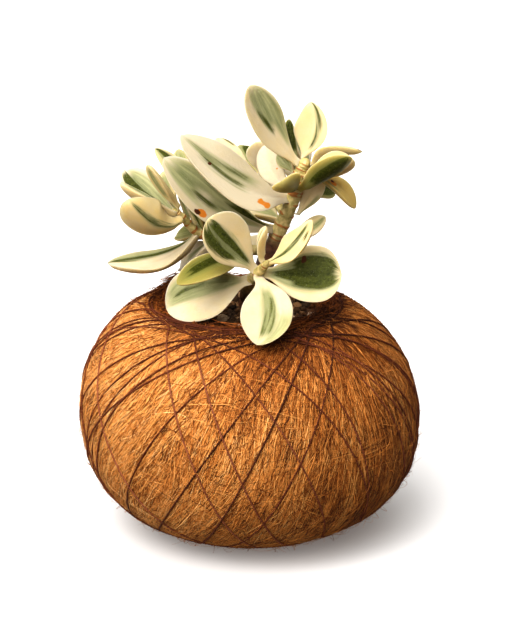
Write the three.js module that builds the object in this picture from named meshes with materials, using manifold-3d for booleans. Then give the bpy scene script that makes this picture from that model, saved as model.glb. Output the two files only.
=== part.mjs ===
// A hand-wound plant ball: a variegated jade plant growing from a ball of soil wrapped in coconut
// fibre and bound with thin twine. Millimetres, +Z up. The origin is on the flat spot that the ball
// rests on, straight under the ball's middle, and the front of the plant faces -Y.
import * as THREE from "three";
import * as BufferGeometryUtils from "three/addons/utils/BufferGeometryUtils.js";
import Module from "manifold-3d";

const wasm = await Module();
wasm.setup();

// The fibre ball, measured from the middle of its widest ring
const BALL_RADIUS = 55;
const BALL_MIDDLE_HEIGHT = 38;
const UPPER_REACH = 46.2;
const UPPER_ROUNDNESS = 2.0;
const LOWER_REACH = 39.1;
const LOWER_ROUNDNESS = 2.5;
const BALL_LEAN = 0.038;
const LIP_HEIGHT = 37.4;
const LIP_SHARPNESS = 18;
const FIBRE_THICKNESS = 5;
// Depth of the loose outer fibres, which the twine sinks into
const LOOSE_DEPTH = 0.75;
const WRAP_SIDES = 48;

// Hollows and swellings of the hand-made ball: azimuth, elevation, height, angle they spread over
const LUMPS = [
  [180, -25, -0.9, 22],
  [180, -58, 1.3, 18],
  [0, -58, -1.3, 18],
  [0, -10, -0.5, 30],
  [0, 5, 0.5, 25],
  [150, 40, 0.6, 20],
];

// Gap kept between pieces that touch
const SEAT_GAP = 0.35;

// The soil, whose top shows in the opening
const SOIL_HEIGHT = 70.6;
const SOIL_BUMP = 0.5;

// The twine: width, lift of its middle above the loose fibre, and where it passes rim and foot
const TWINE_RADIUS = 0.45;
const TWINE_LIFT = 0.2;
const TWINE_LAYER = 0.35;
const TWINE_STEPS = 40;
const TWINE_SIDES = 3;
const PASS_HEIGHT = 36;
const RIM_CLEARANCE = 29;
const FOOT_CLEARANCE = 31;
const CLEARANCE_SPREAD = 42;

// Each turn of twine: azimuth of its high side, distance from the axis up there and down below
const TWINE_TURNS = [
  [14, 22, 18],
  [164, 16, 13],
  [175, 13, 15],
  [210, 28, 4],
  [235, 34, -1],
  [254, 24, 14],
  [254, 27, 14],
  [267, 34, 15],
  [285, 34, 2],
  [313, 33, 13],
  [343, 27, 24],
  [358, 22, 17],
];

// Stems: points along each with its radius there
const STEMS = {
  trunk: [
    [-0.5, 9, 62, 3.2],
    [0, 9, 71.5, 3.4],
    [3, 8.5, 78, 3],
    [6, 8, 87, 2.9],
    [9, 7.5, 94, 2.6],
    [11.5, 7, 100.5, 2.3],
    [14.5, 6.5, 108, 2.2],
    [16.5, 6, 115.5, 2.2],
    [18, 6, 119, 1.8],
  ],
  front_shoot: [
    [1, 8, 73.5, 2.2],
    [-1, 4, 75.5, 2],
    [0, -4, 81, 1.9],
    [1.5, -11, 86, 1.8],
    [3.5, -16, 89.5, 1.6],
    [5.5, -19.5, 93, 1],
  ],
  left_shoot: [
    [7, 8, 89, 1.8],
    [4.5, 8, 89.5, 1.7],
    [-4.5, 8, 90.5, 1.6],
    [-16, 6, 96, 1.4],
    [-21, 4.5, 101.5, 1.2],
    [-23, 4, 103.5, 0.9],
  ],
  back_shoot: [
    [11.5, 8, 99, 1.6],
    [11.5, 10.5, 100.5, 1.5],
    [9, 17, 103.5, 1.4],
    [5.5, 23, 107, 1.2],
    [3.5, 26, 110, 0.9],
  ],
};
const STEM_SIDES = 8;
const BUD_LENGTH = 1.6;

// Usual form of a leaf, where an entry of LEAVES does not say otherwise. "bow" and "sway" bend its
// middle towards its face and sideways, as parts of its length, and "bend" is where. "peak" is where
// it is widest, "blunt" how round its tip is, "cup" how far its edges rise, "neck" its foot's width
// and "off" the gap between its foot and the stem.
const USUAL_LEAF = {
  thick: 3.2, bow: 0, sway: 0, bend: 0.5, peak: 0.62, blunt: 2.3, cup: 0.12, neck: 0.2, off: 0.4,
};
const LEAF_STATIONS = [0, 0.17, 0.34, 0.52, 0.7, 0.86, 0.96];
const LEAF_TOP = [1, 0.55, 0, -0.55, -1];
const LEAF_UNDERSIDE = [-0.6, 0, 0.6];

// Leaves: the stem each grows from, its place there in points of STEMS, where its tip is and which
// way its upper face looks. "side" is the side of the stem it sits on, where that is not plain.
const LEAVES = {
  front_upper_left: {
    stem: "front_shoot", at: 3.8, tip: [-12.5, -20, 107.5], face: [0.1, -0.9, 0.5], width: 15.5,
    bow: 0.03, sway: -0.01, blunt: 3,
  },
  front_upright: {
    stem: "front_shoot", at: 4.7, tip: [5.5, -20, 105], face: [-1, -0.1, 0.2], width: 5.5,
    bow: 0.2, thick: 2.6, off: 1, side: [-0.6, 0, 0.8],
  },
  front_upper_right: {
    stem: "front_shoot", at: 4.9, tip: [19.5, -21, 107.5], face: [-0.4, -0.6, 0.7], width: 9.5,
    bow: -0.05, sway: 0.22, peak: 0.46, blunt: 1.5, side: [0.8, -0.2, 0.5],
  },
  front_right: {
    stem: "front_shoot", at: 3.9, tip: [29, -20, 89.5], face: [0, -0.8, 0.6], width: 19,
    bow: 0.03, sway: 0.07, blunt: 3,
  },
  front_drooping: {
    stem: "front_shoot", at: 3.9, tip: [2.5, -41.5, 73.5], face: [0, -0.3, 0.9], width: 16,
    bow: 0.1, sway: -0.22, blunt: 2.4, off: 0.5,
  },
  front_left: {
    stem: "front_shoot", at: 2.8, tip: [-26, -13, 76.5], face: [0.1, -0.7, 0.7], width: 19,
    bow: 0.1, sway: -0.02, peak: 0.52, blunt: 2.6,
  },
  low_left: {
    stem: "left_shoot", at: 1.6, tip: [-22, -27, 88.5], face: [0.3, -0.4, 0.9], width: 10,
    bow: 0.14, sway: -0.07, blunt: 2, off: 0.55, side: [-0.1, -0.9, -0.3],
  },
  left_lower: {
    stem: "left_shoot", at: 4.1, tip: [-38, -6, 110], face: [-0.1, 1, 0.3], width: 13.5,
    bow: -0.18, sway: 0.38, bend: 0.4, peak: 0.5, blunt: 2.6, cup: 0.3, off: 0.8,
  },
  left_outer: {
    stem: "left_shoot", at: 4.7, tip: [-40, 13, 115], face: [0.2, -0.8, 0.6], width: 11.5,
    bow: -0.05, sway: -0.05, blunt: 1.9, off: 0.6, side: [-1, 0.5, 0.1],
  },
  left_small: {
    stem: "left_shoot", at: 4.7, tip: [-40.5, 0, 114], face: [0.1, 0, 1], width: 6.5,
    bow: -0.05, off: 0.9, side: [-0.8, -0.7, 0.4],
  },
  left_upright: {
    stem: "left_shoot", at: 5, tip: [-32, 1, 119.5], face: [-0.8, -0.6, 0.1], width: 5,
    bow: 0.06, thick: 2.6,
  },
  left_inner: {
    stem: "left_shoot", at: 4.7, tip: [-27, 21, 112.9], face: [-0.3, -0.9, 0.3], width: 6.5,
    bow: 0.05, sway: -0.15, off: 0.6, side: [0.2, 1, 0],
  },
  left_long: {
    stem: "left_shoot", at: 3, tip: [-45, 0, 87.5], face: [0, -0.2, 1], width: 13.5,
    bow: -0.34, bend: 0.4, blunt: 1.6,
  },
  left_node: {
    stem: "left_shoot", at: 2.9, tip: [-18, 2, 107], face: [-0.8, -0.5, 0.3], width: 7,
  },
  back_long: {
    stem: "left_shoot", at: 3.3, tip: [-30, 13, 122], face: [0.5, -0.6, 0.6], width: 8.5,
    bow: 0.15, sway: 0.12, blunt: 1.6, off: 0.6, side: [0.2, 0.7, 0.7],
  },
  left_tall: {
    stem: "left_shoot", at: 3.7, tip: [-23, 36, 116.5], face: [0.2, -0.8, 0.6], width: 7,
    off: 1.1, side: [0.1, 1, -0.5],
  },
  left_back: {
    stem: "left_shoot", at: 2.8, tip: [-24, 24, 90], face: [0.1, -0.8, 0.6], width: 9,
    sway: 0.2,
  },
  left_under: {
    stem: "left_shoot", at: 2.6, tip: [-22.5, 16, 81.5], face: [0.3, -0.5, 0.8], width: 11,
  },
  large_lower: {
    stem: "trunk", at: 4.3, tip: [-26.5, -4, 123], face: [0.2, -0.7, 0.7], width: 16.5,
    bow: 0.06, sway: -0.26,
  },
  large_upper: {
    stem: "trunk", at: 5.8, tip: [-21, -10, 131.5], face: [0.1, -0.6, 0.8], width: 19.5,
    bow: 0.04, sway: -0.32, peak: 0.52, blunt: 2.6,
  },
  top_left: {
    stem: "trunk", at: 7.7, tip: [0.5, 4, 144.5], face: [0.5, -0.7, 0.5], width: 14,
    bow: -0.06, sway: -0.14, blunt: 2.6,
  },
  top_upright: {
    stem: "trunk", at: 8, tip: [19.5, 14, 137], face: [-0.2, -1, 0.2], width: 11,
    bow: -0.05, sway: 0.18, peak: 0.5, blunt: 1.6, neck: 0.1,
  },
  top_right: {
    stem: "trunk", at: 8, tip: [36, 2, 123.5], face: [0, 0.2, 1], width: 8,
    bow: 0.4, bend: 0.3, peak: 0.4, blunt: 1.5,
  },
  top_front: {
    stem: "trunk", at: 6.5, tip: [31, -13, 125.5], face: [-0.3, 0.8, 0.4], width: 10,
    off: 0.8, side: [0.3, -1, 0],
  },
  top_front_left: {
    stem: "trunk", at: 6.6, tip: [10, -9, 116.5], face: [-0.5, 0.3, 0.8], width: 10,
    bow: -0.15, sway: -0.1, off: 0.8, side: [-0.8, -0.6, 0],
  },
  top_right_lower: {
    stem: "trunk", at: 7.1, tip: [33, -2.5, 122], face: [0.1, 0.9, 0.5], width: 10,
  },
  top_drooping: {
    stem: "trunk", at: 7.1, tip: [34, 4, 104.5], face: [0.6, -0.5, 0.6], width: 7,
    bow: 0.29, off: 0.55, side: [0.9, 0.4, 0.1],
  },
  stem_right: {
    stem: "trunk", at: 5.3, tip: [23.5, 9, 114], face: [0.3, -0.9, 0.3], width: 6.5,
    off: 1.3, side: [1, -0.3, -0.2],
  },
  stem_back_right: {
    stem: "trunk", at: 6.3, tip: [28, 26, 105], face: [0.3, -0.8, 0.6], width: 7.5,
    side: [0.5, 1, 0],
  },
  stem_left: {
    stem: "trunk", at: 6.2, tip: [5.5, 23, 121], face: [-0.3, -0.9, 0.1], width: 9.5,
    sway: -0.15, off: 0.6, side: [-0.7, 0.7, 0],
  },
  back_upright: {
    stem: "back_shoot", at: 3.8, tip: [3.5, 24, 122], face: [0, -1, 0], width: 9,
    off: 0.7, side: [0, 0, 1],
  },
  top_back_left: {
    stem: "trunk", at: 7.45, tip: [13, 18, 130.5], face: [0.3, -0.9, 0.1], width: 4,
    sway: -0.15, off: 0.6, side: [-0.35, 1, 0],
  },
  top_back: {
    stem: "trunk", at: 7.4, tip: [15, 36, 122], face: [0.3, -0.9, 0.1], width: 8,
    side: [0.7, 0.7, 0],
  },
  back_left: {
    stem: "back_shoot", at: 3.8, tip: [-10.5, 33, 121], face: [0.3, -0.6, 0.7], width: 7.5,
    sway: -0.12, off: 0.7, side: [-0.8, 0.6, -0.1],
  },
  back_far: {
    stem: "back_shoot", at: 4, tip: [-1.5, 50, 114.5], face: [0.3, -0.6, 0.7], width: 9,
    side: [0.5, 1, -0.1],
  },
  top_under: {
    stem: "trunk", at: 7, tip: [9, 13, 120], face: [0.1, -1, -0.3], width: 5.5,
    sway: 0.15, side: [-0.9, 0.5, 0],
  },
  low_right: {
    stem: "trunk", at: 4.1, tip: [24.5, 8, 101], face: [0.2, -0.5, 0.8], width: 6.5,
    sway: 0.22,
  },
  low_back_left: {
    stem: "trunk", at: 4.8, tip: [0.5, 22, 100.5], face: [0.2, -0.5, 0.8], width: 9,
  },
  back_right: {
    stem: "back_shoot", at: 2.8, tip: [14, 46, 103.5], face: [0.1, 0.6, 0.8], width: 12,
    bow: -0.1, side: [0.5, 0.8, -0.2],
  },
  low_back: {
    stem: "trunk", at: 3.4, tip: [4.5, 36, 87], face: [0, 0.6, 0.8], width: 13,
    bow: -0.15, off: 0.9, side: [0, 1, -0.3],
  },
  stem_back: {
    stem: "trunk", at: 6.7, tip: [16.5, 38, 113], face: [0, 0.6, 0.8], width: 10,
    bow: -0.1, off: 0.7, side: [-0.2, 1, -0.2],
  },
};

// Pebbles of pumice and bark on the soil: x, y, size, height over width, quarter turns
const PEBBLES = [
  [-8.5, -9, 4.6, 0.75, 0.3],
  [-2.2, -14.5, 2.9, 0.8, 1.1],
  [-16, -5, 3.2, 0.7, 0.6],
  [14, -6, 3.6, 0.8, 1.7],
  [20, -1.5, 2.7, 0.75, 0.2],
  [13, 16, 4.2, 0.7, 0.9],
  [-12, 15, 3.4, 0.8, 0.4],
];
const PEBBLE_RISE = 0.35;

const COLOURS = {
  fibre: 0xb5742f,
  soil: 0x33241a,
  twine: 0x55231a,
  stem: 0x8a8a45,
  leaf: 0xdfe0b4,
  pebble: 0x8f8577,
};

function paint(colour, roughness) {
  return new THREE.MeshStandardMaterial({ color: colour, roughness, metalness: 0 });
}

function namedMesh(name, geometry, material) {
  const mesh = new THREE.Mesh(geometry, material);
  mesh.name = name;
  return mesh;
}

function vector(values) {
  return new THREE.Vector3(values[0], values[1], values[2]);
}

// A closed body through rings of points, with a point at each end, or joined end to end as a loop
function loft(rings, firstPoint, lastPoint) {
  const count = rings[0].length;
  const points = rings.flat();
  const triangles = [];
  const isLoop = firstPoint === undefined;
  const bands = isLoop ? rings.length : rings.length - 1;
  for (let band = 0; band < bands; band += 1) {
    const here = band * count;
    const there = ((band + 1) % rings.length) * count;
    for (let i = 0; i < count; i += 1) {
      const next = (i + 1) % count;
      triangles.push(here + i, here + next, there + i);
      triangles.push(here + next, there + next, there + i);
    }
  }
  if (!isLoop) {
    const first = points.length;
    const last = first + 1;
    const end = (rings.length - 1) * count;
    points.push(firstPoint, lastPoint);
    for (let i = 0; i < count; i += 1) {
      const next = (i + 1) % count;
      triangles.push(first, next, i);
      triangles.push(last, end + i, end + next);
    }
  }
  return outward(points, triangles);
}

// The geometry of these triangles, with their outer sides out
function outward(points, triangles) {
  let volume = 0;
  const cross = new THREE.Vector3();
  for (let i = 0; i < triangles.length; i += 3) {
    cross.crossVectors(points[triangles[i + 1]], points[triangles[i + 2]]);
    volume += cross.dot(points[triangles[i]]);
  }
  const geometry = new THREE.BufferGeometry().setFromPoints(points);
  geometry.setIndex(volume > 0 ? triangles : triangles.reverse());
  return geometry;
}

function toSolid(geometry) {
  const bare = geometry.clone();
  bare.deleteAttribute("normal");
  bare.deleteAttribute("uv");
  const merged = BufferGeometryUtils.mergeVertices(bare, 1e-4);
  const vertProperties = new Float32Array(merged.attributes.position.array);
  const triVerts = new Uint32Array(merged.index.array);
  return new wasm.Manifold(new wasm.Mesh({ numProp: 3, vertProperties, triVerts }));
}

function toGeometry(solid) {
  const mesh = solid.getMesh();
  const geometry = new THREE.BufferGeometry();
  geometry.setAttribute("position", new THREE.BufferAttribute(new Float32Array(mesh.vertProperties), 3));
  geometry.setIndex(Array.from(mesh.triVerts));
  return geometry;
}

// How far the ball's surface is from its middle in a direction, in radians
function ballReach(azimuth, elevation) {
  const isUpper = elevation >= 0;
  const roundness = isUpper ? UPPER_ROUNDNESS : LOWER_ROUNDNESS;
  const height = isUpper ? UPPER_REACH : LOWER_REACH;
  const across = Math.cos(elevation) / BALL_RADIUS;
  const up = Math.abs(Math.sin(elevation)) / height;
  let reach = (across ** roundness + up ** roundness) ** (-1 / roundness);
  const lip = LIP_HEIGHT / Math.max(Math.sin(elevation), 0.2);
  reach = (reach ** -LIP_SHARPNESS + lip ** -LIP_SHARPNESS) ** (-1 / LIP_SHARPNESS);
  for (const [lumpAzimuth, lumpElevation, lumpHeight, spread] of LUMPS) {
    const away = azimuth - THREE.MathUtils.degToRad(lumpAzimuth);
    const centre = THREE.MathUtils.degToRad(lumpElevation);
    const width = THREE.MathUtils.degToRad(spread);
    const nearness =
      Math.sin(elevation) * Math.sin(centre) + Math.cos(elevation) * Math.cos(centre) * Math.cos(away);
    reach += lumpHeight * Math.exp((nearness - 1) / width ** 2);
  }
  const floorReach = BALL_MIDDLE_HEIGHT / Math.max(-Math.sin(elevation), 1e-6);
  return Math.min(reach, floorReach);
}

// A point of the ball, set in from its surface, with the lean of the whole ball
function ballPoint(azimuth, elevation, inset) {
  const reach = ballReach(azimuth, elevation) - inset;
  const height = reach * Math.sin(elevation);
  const radius = reach * Math.cos(elevation);
  return new THREE.Vector3(
    radius * Math.cos(azimuth) - BALL_LEAN * height,
    radius * Math.sin(azimuth),
    height + BALL_MIDDLE_HEIGHT,
  );
}

// A ring of the ball for each pair of elevation in degrees and inset
function ballRings(stations) {
  return stations.map(([elevation, inset]) =>
    Array.from({ length: WRAP_SIDES }, (_, i) =>
      ballPoint((i / WRAP_SIDES) * 2 * Math.PI, THREE.MathUtils.degToRad(elevation), inset),
    ),
  );
}

// The coconut fibre: outside from the flat spot up to the lip, then down the inside
function makeWrap() {
  const foot = [
    [-75, 0],
    [-67.5, 0],
    [-60, 0.5],
  ];
  const outside = [-51, -41, -30, -19, -8, 3, 14, 25, 35, 43, 49].map((angle) => [angle, LOOSE_DEPTH]);
  const lip = [
    [52.5, 1.2],
    [54, 2.5],
    [53, 4.4],
    [49, FIBRE_THICKNESS + 1],
  ];
  const inside = [41, 28, 12, -6, -24, -42, -60].map((angle) => [angle, FIBRE_THICKNESS]);
  const rings = ballRings([...foot, ...outside, ...lip, ...inside]);
  const underside = ballPoint(0, -Math.PI / 2, 0);
  const floor = ballPoint(0, -Math.PI / 2, FIBRE_THICKNESS);
  return loft(rings, underside, floor);
}

// Small rise and fall of the soil's top
function soilHeight(x, y) {
  return SOIL_HEIGHT + SOIL_BUMP * Math.sin(0.55 * x + 1) * Math.cos(0.6 * y + 0.4);
}

// The soil: fills the fibre and shows its uneven top in the opening
function makeSoil() {
  const inset = FIBRE_THICKNESS + SEAT_GAP;
  const sides = [-60, -42, -24, -6, 12, 28, 41].map((angle) => [angle, inset]);
  const rings = ballRings([...sides, [49, inset + 1]]);
  const topCentre = -BALL_LEAN * (SOIL_HEIGHT - BALL_MIDDLE_HEIGHT);
  for (const radius of [23.6, 18.5, 13, 7]) {
    const ring = [];
    for (let i = 0; i < WRAP_SIDES; i += 1) {
      const angle = (i / WRAP_SIDES) * 2 * Math.PI;
      const x = topCentre + radius * Math.cos(angle);
      const y = radius * Math.sin(angle);
      ring.push(new THREE.Vector3(x, y, soilHeight(x, y)));
    }
    rings.push(ring);
  }
  const bottom = ballPoint(0, -Math.PI / 2, inset);
  const top = new THREE.Vector3(topCentre, 0, soilHeight(topCentre, 0));
  return loft(rings, bottom, top);
}

// How far a point, measured from the ball's middle, stands above the fibre
function heightAboveFibre(point) {
  const elevation = Math.atan2(point.z, Math.hypot(point.x, point.y));
  return point.length() - ballReach(Math.atan2(point.y, point.x), elevation);
}

// Where a ray from a place inside the ball comes out, moved clear of the opening and the flat spot
function twinePoint(origin, direction, uphill, lift, spread) {
  let near = 0;
  let far = 2 * BALL_RADIUS;
  for (let i = 0; i < 40; i += 1) {
    const middle = (near + far) / 2;
    if (heightAboveFibre(origin.clone().addScaledVector(direction, middle)) < 0) near = middle;
    else far = middle;
  }
  const point = origin.clone().addScaledVector(direction, near);
  const isHigh = point.z > 0;
  const out = point.dot(uphill) * (isHigh ? 1 : -1);
  const acrossSquared = point.x ** 2 + point.y ** 2 - out ** 2;
  const clearance = (isHigh ? RIM_CLEARANCE : FOOT_CLEARANCE) + spread;
  const push = Math.max(0, clearance * (1 - acrossSquared / CLEARANCE_SPREAD ** 2) - out);
  point.addScaledVector(uphill, isHigh ? push : -push);
  return point.setLength(point.length() - heightAboveFibre(point) + lift);
}

// Raises the ends of each straight length of the path until its middle clears the fibre too
function raisePath(path, lift) {
  for (let pass = 0; pass < 3; pass += 1) {
    path.forEach((point, i) => {
      const next = path[(i + 1) % path.length];
      const short = lift - heightAboveFibre(point.clone().lerp(next, 0.5));
      if (short > 0) {
        point.setLength(point.length() + short / 2);
        next.setLength(next.length() + short / 2);
      }
    });
  }
}

// One turn of twine: the ball cut by a plane, followed by a thin closed tube
function makeTwineTurn([azimuth, above, below], index) {
  const angle = THREE.MathUtils.degToRad(azimuth);
  const high = new THREE.Vector3(above * Math.cos(angle), above * Math.sin(angle), PASS_HEIGHT);
  const low = new THREE.Vector3(-below * Math.cos(angle), -below * Math.sin(angle), -PASS_HEIGHT);
  const origin = high.clone().add(low).multiplyScalar(0.5);
  const upward = high.clone().sub(low).normalize();
  const sideways = new THREE.Vector3(-Math.sin(angle), Math.cos(angle), 0);
  const uphill = new THREE.Vector3(Math.cos(angle), Math.sin(angle), 0);
  const lift = TWINE_LIFT + TWINE_LAYER * (index % 3);
  const spread = 1.1 * (index % 4);
  const path = Array.from({ length: TWINE_STEPS }, (_, i) => {
    const turn = (i / TWINE_STEPS) * 2 * Math.PI;
    const direction = sideways.clone().multiplyScalar(Math.cos(turn)).addScaledVector(upward, Math.sin(turn));
    return twinePoint(origin, direction, uphill, lift, spread);
  });
  raisePath(path, lift);
  const rings = path.map((point, i) => {
    const before = path[(i + TWINE_STEPS - 1) % TWINE_STEPS];
    const after = path[(i + 1) % TWINE_STEPS];
    const along = after.clone().sub(before).normalize();
    const outwards = point.clone().projectOnPlane(along).normalize();
    const across = new THREE.Vector3().crossVectors(along, outwards);
    return Array.from({ length: TWINE_SIDES }, (_, side) => {
      const around = (side / TWINE_SIDES) * 2 * Math.PI;
      const corner = point.clone().addScaledVector(outwards, TWINE_RADIUS * Math.cos(around));
      corner.addScaledVector(across, TWINE_RADIUS * Math.sin(around));
      return corner.set(corner.x - BALL_LEAN * corner.z, corner.y, corner.z + BALL_MIDDLE_HEIGHT);
    });
  });
  return toSolid(loft(rings));
}

function makeTwine() {
  const turns = TWINE_TURNS.map(makeTwineTurn);
  return turns.reduce((joined, turn) => joined.add(turn));
}

// A stem through its points, each with a radius, ending in a bud
function makeStem(points, grow) {
  const path = points.map(vector);
  const last = path.length - 1;
  const foot = path[1].clone().sub(path[0]).normalize();
  const tip = path[last].clone().sub(path[last - 1]).normalize();
  path[0].addScaledVector(foot, -grow);
  const rings = path.map((point, i) => {
    const along = path[Math.min(i + 1, last)].clone().sub(path[Math.max(i - 1, 0)]).normalize();
    const across = new THREE.Vector3(0, 1, 0).projectOnPlane(along).normalize();
    const third = new THREE.Vector3().crossVectors(along, across);
    const radius = points[i][3] + grow;
    return Array.from({ length: STEM_SIDES }, (_, side) => {
      const around = (side / STEM_SIDES) * 2 * Math.PI;
      const corner = point.clone().addScaledVector(across, radius * Math.cos(around));
      return corner.addScaledVector(third, radius * Math.sin(around));
    });
  });
  const start = path[0].clone().addScaledVector(foot, -0.3);
  const end = path[last].clone().addScaledVector(tip, BUD_LENGTH + grow);
  return toSolid(loft(rings, start, end));
}

function makeStems(grow) {
  const stems = Object.values(STEMS).map((points) => makeStem(points, grow));
  return stems.reduce((joined, stem) => joined.add(stem));
}

// Where a leaf's foot sits: just off its stem, on the side that it grows to
function leafFoot(leaf) {
  const points = STEMS[leaf.stem];
  const index = Math.min(Math.floor(leaf.at), points.length - 2);
  const part = leaf.at - index;
  const near = vector(points[index]);
  const far = vector(points[index + 1]);
  const place = near.clone().lerp(far, part);
  const radius = THREE.MathUtils.lerp(points[index][3], points[index + 1][3], part);
  const along = far.sub(near).normalize();
  const toTip = vector(leaf.tip).sub(place).normalize();
  const side = leaf.side ? vector(leaf.side) : toTip.addScaledVector(along, -0.9 * toTip.dot(along));
  return place.addScaledVector(side.normalize(), radius + leaf.off);
}

// Half width of a leaf at a station from 0 at its foot to 1 at its tip
function leafHalfWidth(leaf, station) {
  const rise = Math.sin((Math.PI / 2) * Math.min(station / leaf.peak, 1)) ** 1.25;
  const past = Math.max((station - leaf.peak) / (1 - leaf.peak), 0);
  const fall = (1 - past ** leaf.blunt) ** 0.62;
  const blade = station < leaf.peak ? rise : fall;
  const foot = leaf.neck * (1 - station) ** 1.2;
  return (leaf.width / 2) * Math.hypot(blade, foot);
}

function leafThickness(leaf, halfWidth, station) {
  const fullness = Math.min(1, halfWidth / (0.175 * leaf.width));
  return leaf.thick * (0.35 + 0.65 * fullness) * Math.sqrt(1 - station ** 5);
}

// A fleshy leaf: nearly flat above, rounded below, with sharp edges
function makeLeaf(entry) {
  const leaf = { ...USUAL_LEAF, ...entry };
  const foot = leafFoot(leaf);
  const tip = vector(leaf.tip);
  const chord = tip.clone().sub(foot);
  const length = chord.length();
  chord.normalize();
  const face = vector(leaf.face).projectOnPlane(chord).normalize();
  const sideways = new THREE.Vector3().crossVectors(chord, face);
  const control = foot.clone().lerp(tip, leaf.bend);
  control.addScaledVector(face, leaf.bow * length).addScaledVector(sideways, leaf.sway * length);
  const midrib = new THREE.QuadraticBezierCurve3(foot, control, tip);
  const rings = LEAF_STATIONS.map((station) => {
    const centre = midrib.getPoint(station);
    const along = midrib.getTangent(station);
    const up = face.clone().projectOnPlane(along).normalize();
    const across = new THREE.Vector3().crossVectors(along, up);
    const half = leafHalfWidth(leaf, station);
    const thickness = leafThickness(leaf, half, station);
    const onRing = (part, height) =>
      centre.clone().addScaledVector(across, part * half).addScaledVector(up, height);
    const edge = (part) => 2 * leaf.cup * half * part * part;
    const top = LEAF_TOP.map((part) => onRing(part, edge(part) + 0.22 * thickness * (1 - part * part)));
    const underside = LEAF_UNDERSIDE.map((part) =>
      onRing(part, edge(part) - 0.78 * thickness * (1 - part * part) ** 0.8),
    );
    return [...top, ...underside];
  });
  return loft(rings, foot, tip);
}

// A rounded broken pebble, grown evenly where "grow" is more than 0
function makePebble([x, y, size, flatness, turn], index, grow) {
  const geometry = BufferGeometryUtils.mergeVertices(bareIcosahedron(), 1e-4);
  const positions = geometry.attributes.position;
  const radius = size / 2 + grow;
  const centreHeight = soilHeight(x, y) + PEBBLE_RISE * size * flatness * 0.5;
  for (let i = 0; i < positions.count; i += 1) {
    const corner = new THREE.Vector3().fromBufferAttribute(positions, i);
    const chip = 1 - 0.14 * Math.abs(Math.sin(2.3 * corner.x + 3.1 * corner.y + 1.7 * corner.z + index));
    corner.multiplyScalar(radius * chip);
    corner.set(corner.x * 1.2, corner.y, corner.z * flatness);
    corner.applyAxisAngle(new THREE.Vector3(0, 0, 1), (turn * Math.PI) / 2);
    positions.setXYZ(i, corner.x + x, corner.y + y, corner.z + centreHeight);
  }
  return geometry;
}

function bareIcosahedron() {
  const geometry = new THREE.IcosahedronGeometry(1, 1);
  geometry.deleteAttribute("normal");
  geometry.deleteAttribute("uv");
  return geometry;
}

const plant = new THREE.Group();

plant.add(namedMesh("coir_wrap", makeWrap(), paint(COLOURS.fibre, 0.95)));
plant.add(namedMesh("twine", toGeometry(makeTwine()), paint(COLOURS.twine, 0.9)));
plant.add(namedMesh("stems", toGeometry(makeStems(0)), paint(COLOURS.stem, 0.6)));

let soil = toSolid(makeSoil()).subtract(makeStems(SEAT_GAP));
PEBBLES.forEach((pebble, index) => {
  soil = soil.subtract(toSolid(makePebble(pebble, index, SEAT_GAP)));
  plant.add(namedMesh(`pebble_${index + 1}`, makePebble(pebble, index, 0), paint(COLOURS.pebble, 0.95)));
});
plant.add(namedMesh("soil_ball", toGeometry(soil), paint(COLOURS.soil, 1)));

for (const [name, entry] of Object.entries(LEAVES)) {
  plant.add(namedMesh(`leaf_${name}`, makeLeaf(entry), paint(COLOURS.leaf, 0.4)));
}

export default plant;
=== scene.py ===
"""Looks of a hand-wound plant ball: coconut fibre, twine, soil, stems and variegated leaves."""
import math

import bpy
import numpy as np
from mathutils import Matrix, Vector


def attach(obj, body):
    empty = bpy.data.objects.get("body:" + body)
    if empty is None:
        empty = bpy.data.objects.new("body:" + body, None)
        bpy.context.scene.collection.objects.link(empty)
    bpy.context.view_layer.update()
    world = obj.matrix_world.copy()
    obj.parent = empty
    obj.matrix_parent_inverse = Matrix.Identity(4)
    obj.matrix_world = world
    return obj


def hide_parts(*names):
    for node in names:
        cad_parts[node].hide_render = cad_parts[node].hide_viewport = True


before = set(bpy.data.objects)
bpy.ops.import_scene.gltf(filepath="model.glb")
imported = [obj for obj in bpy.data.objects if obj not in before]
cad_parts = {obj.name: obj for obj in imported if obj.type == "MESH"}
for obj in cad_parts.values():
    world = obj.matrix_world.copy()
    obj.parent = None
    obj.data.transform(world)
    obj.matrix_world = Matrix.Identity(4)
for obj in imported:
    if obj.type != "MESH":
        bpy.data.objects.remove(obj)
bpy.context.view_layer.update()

MM = 0.001
random = np.random.default_rng(7)

# The fibre ball, in millimetres from its middle
BALL_RADIUS = 55
BALL_MIDDLE_HEIGHT = 38
UPPER_REACH = 46.2
UPPER_ROUNDNESS = 2.0
LOWER_REACH = 39.1
LOWER_ROUNDNESS = 2.5
BALL_LEAN = 0.038
LIP_HEIGHT = 37.4
LIP_SHARPNESS = 18
FOOT_GAP = 0.08
# Hollows and swellings: azimuth, elevation, height, angle they spread over
LUMPS = [
    (180, -25, -0.9, 22),
    (180, -58, 1.3, 18),
    (0, -58, -1.3, 18),
    (0, -10, -0.5, 30),
    (0, 5, 0.5, 25),
    (150, 40, 0.6, 20),
]
# Where the fibre turns over the lip, and its way in and down from there, with the way it faces
LIP_START = math.radians(50)
LIP_ARC = 47
LIP_ALONG = [0, 2, 3.9, 5.6, 7.4, 9.4, 12.4]
LIP_IN = [0, -2, -3.7, -4.7, -5, -4.7, -4.4]
LIP_DOWN = [0, -0.15, -0.95, -2.35, -4.15, -6.15, -9]
LIP_FACES_OUT = [0.64, -0.1, -0.7, -0.95, -1, -1, -1]
LIP_FACES_UP = [0.77, 0.99, 0.7, 0.3, 0, 0, 0]

SOIL_HEIGHT = 70.6
SOIL_BUMP = 0.5

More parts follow.
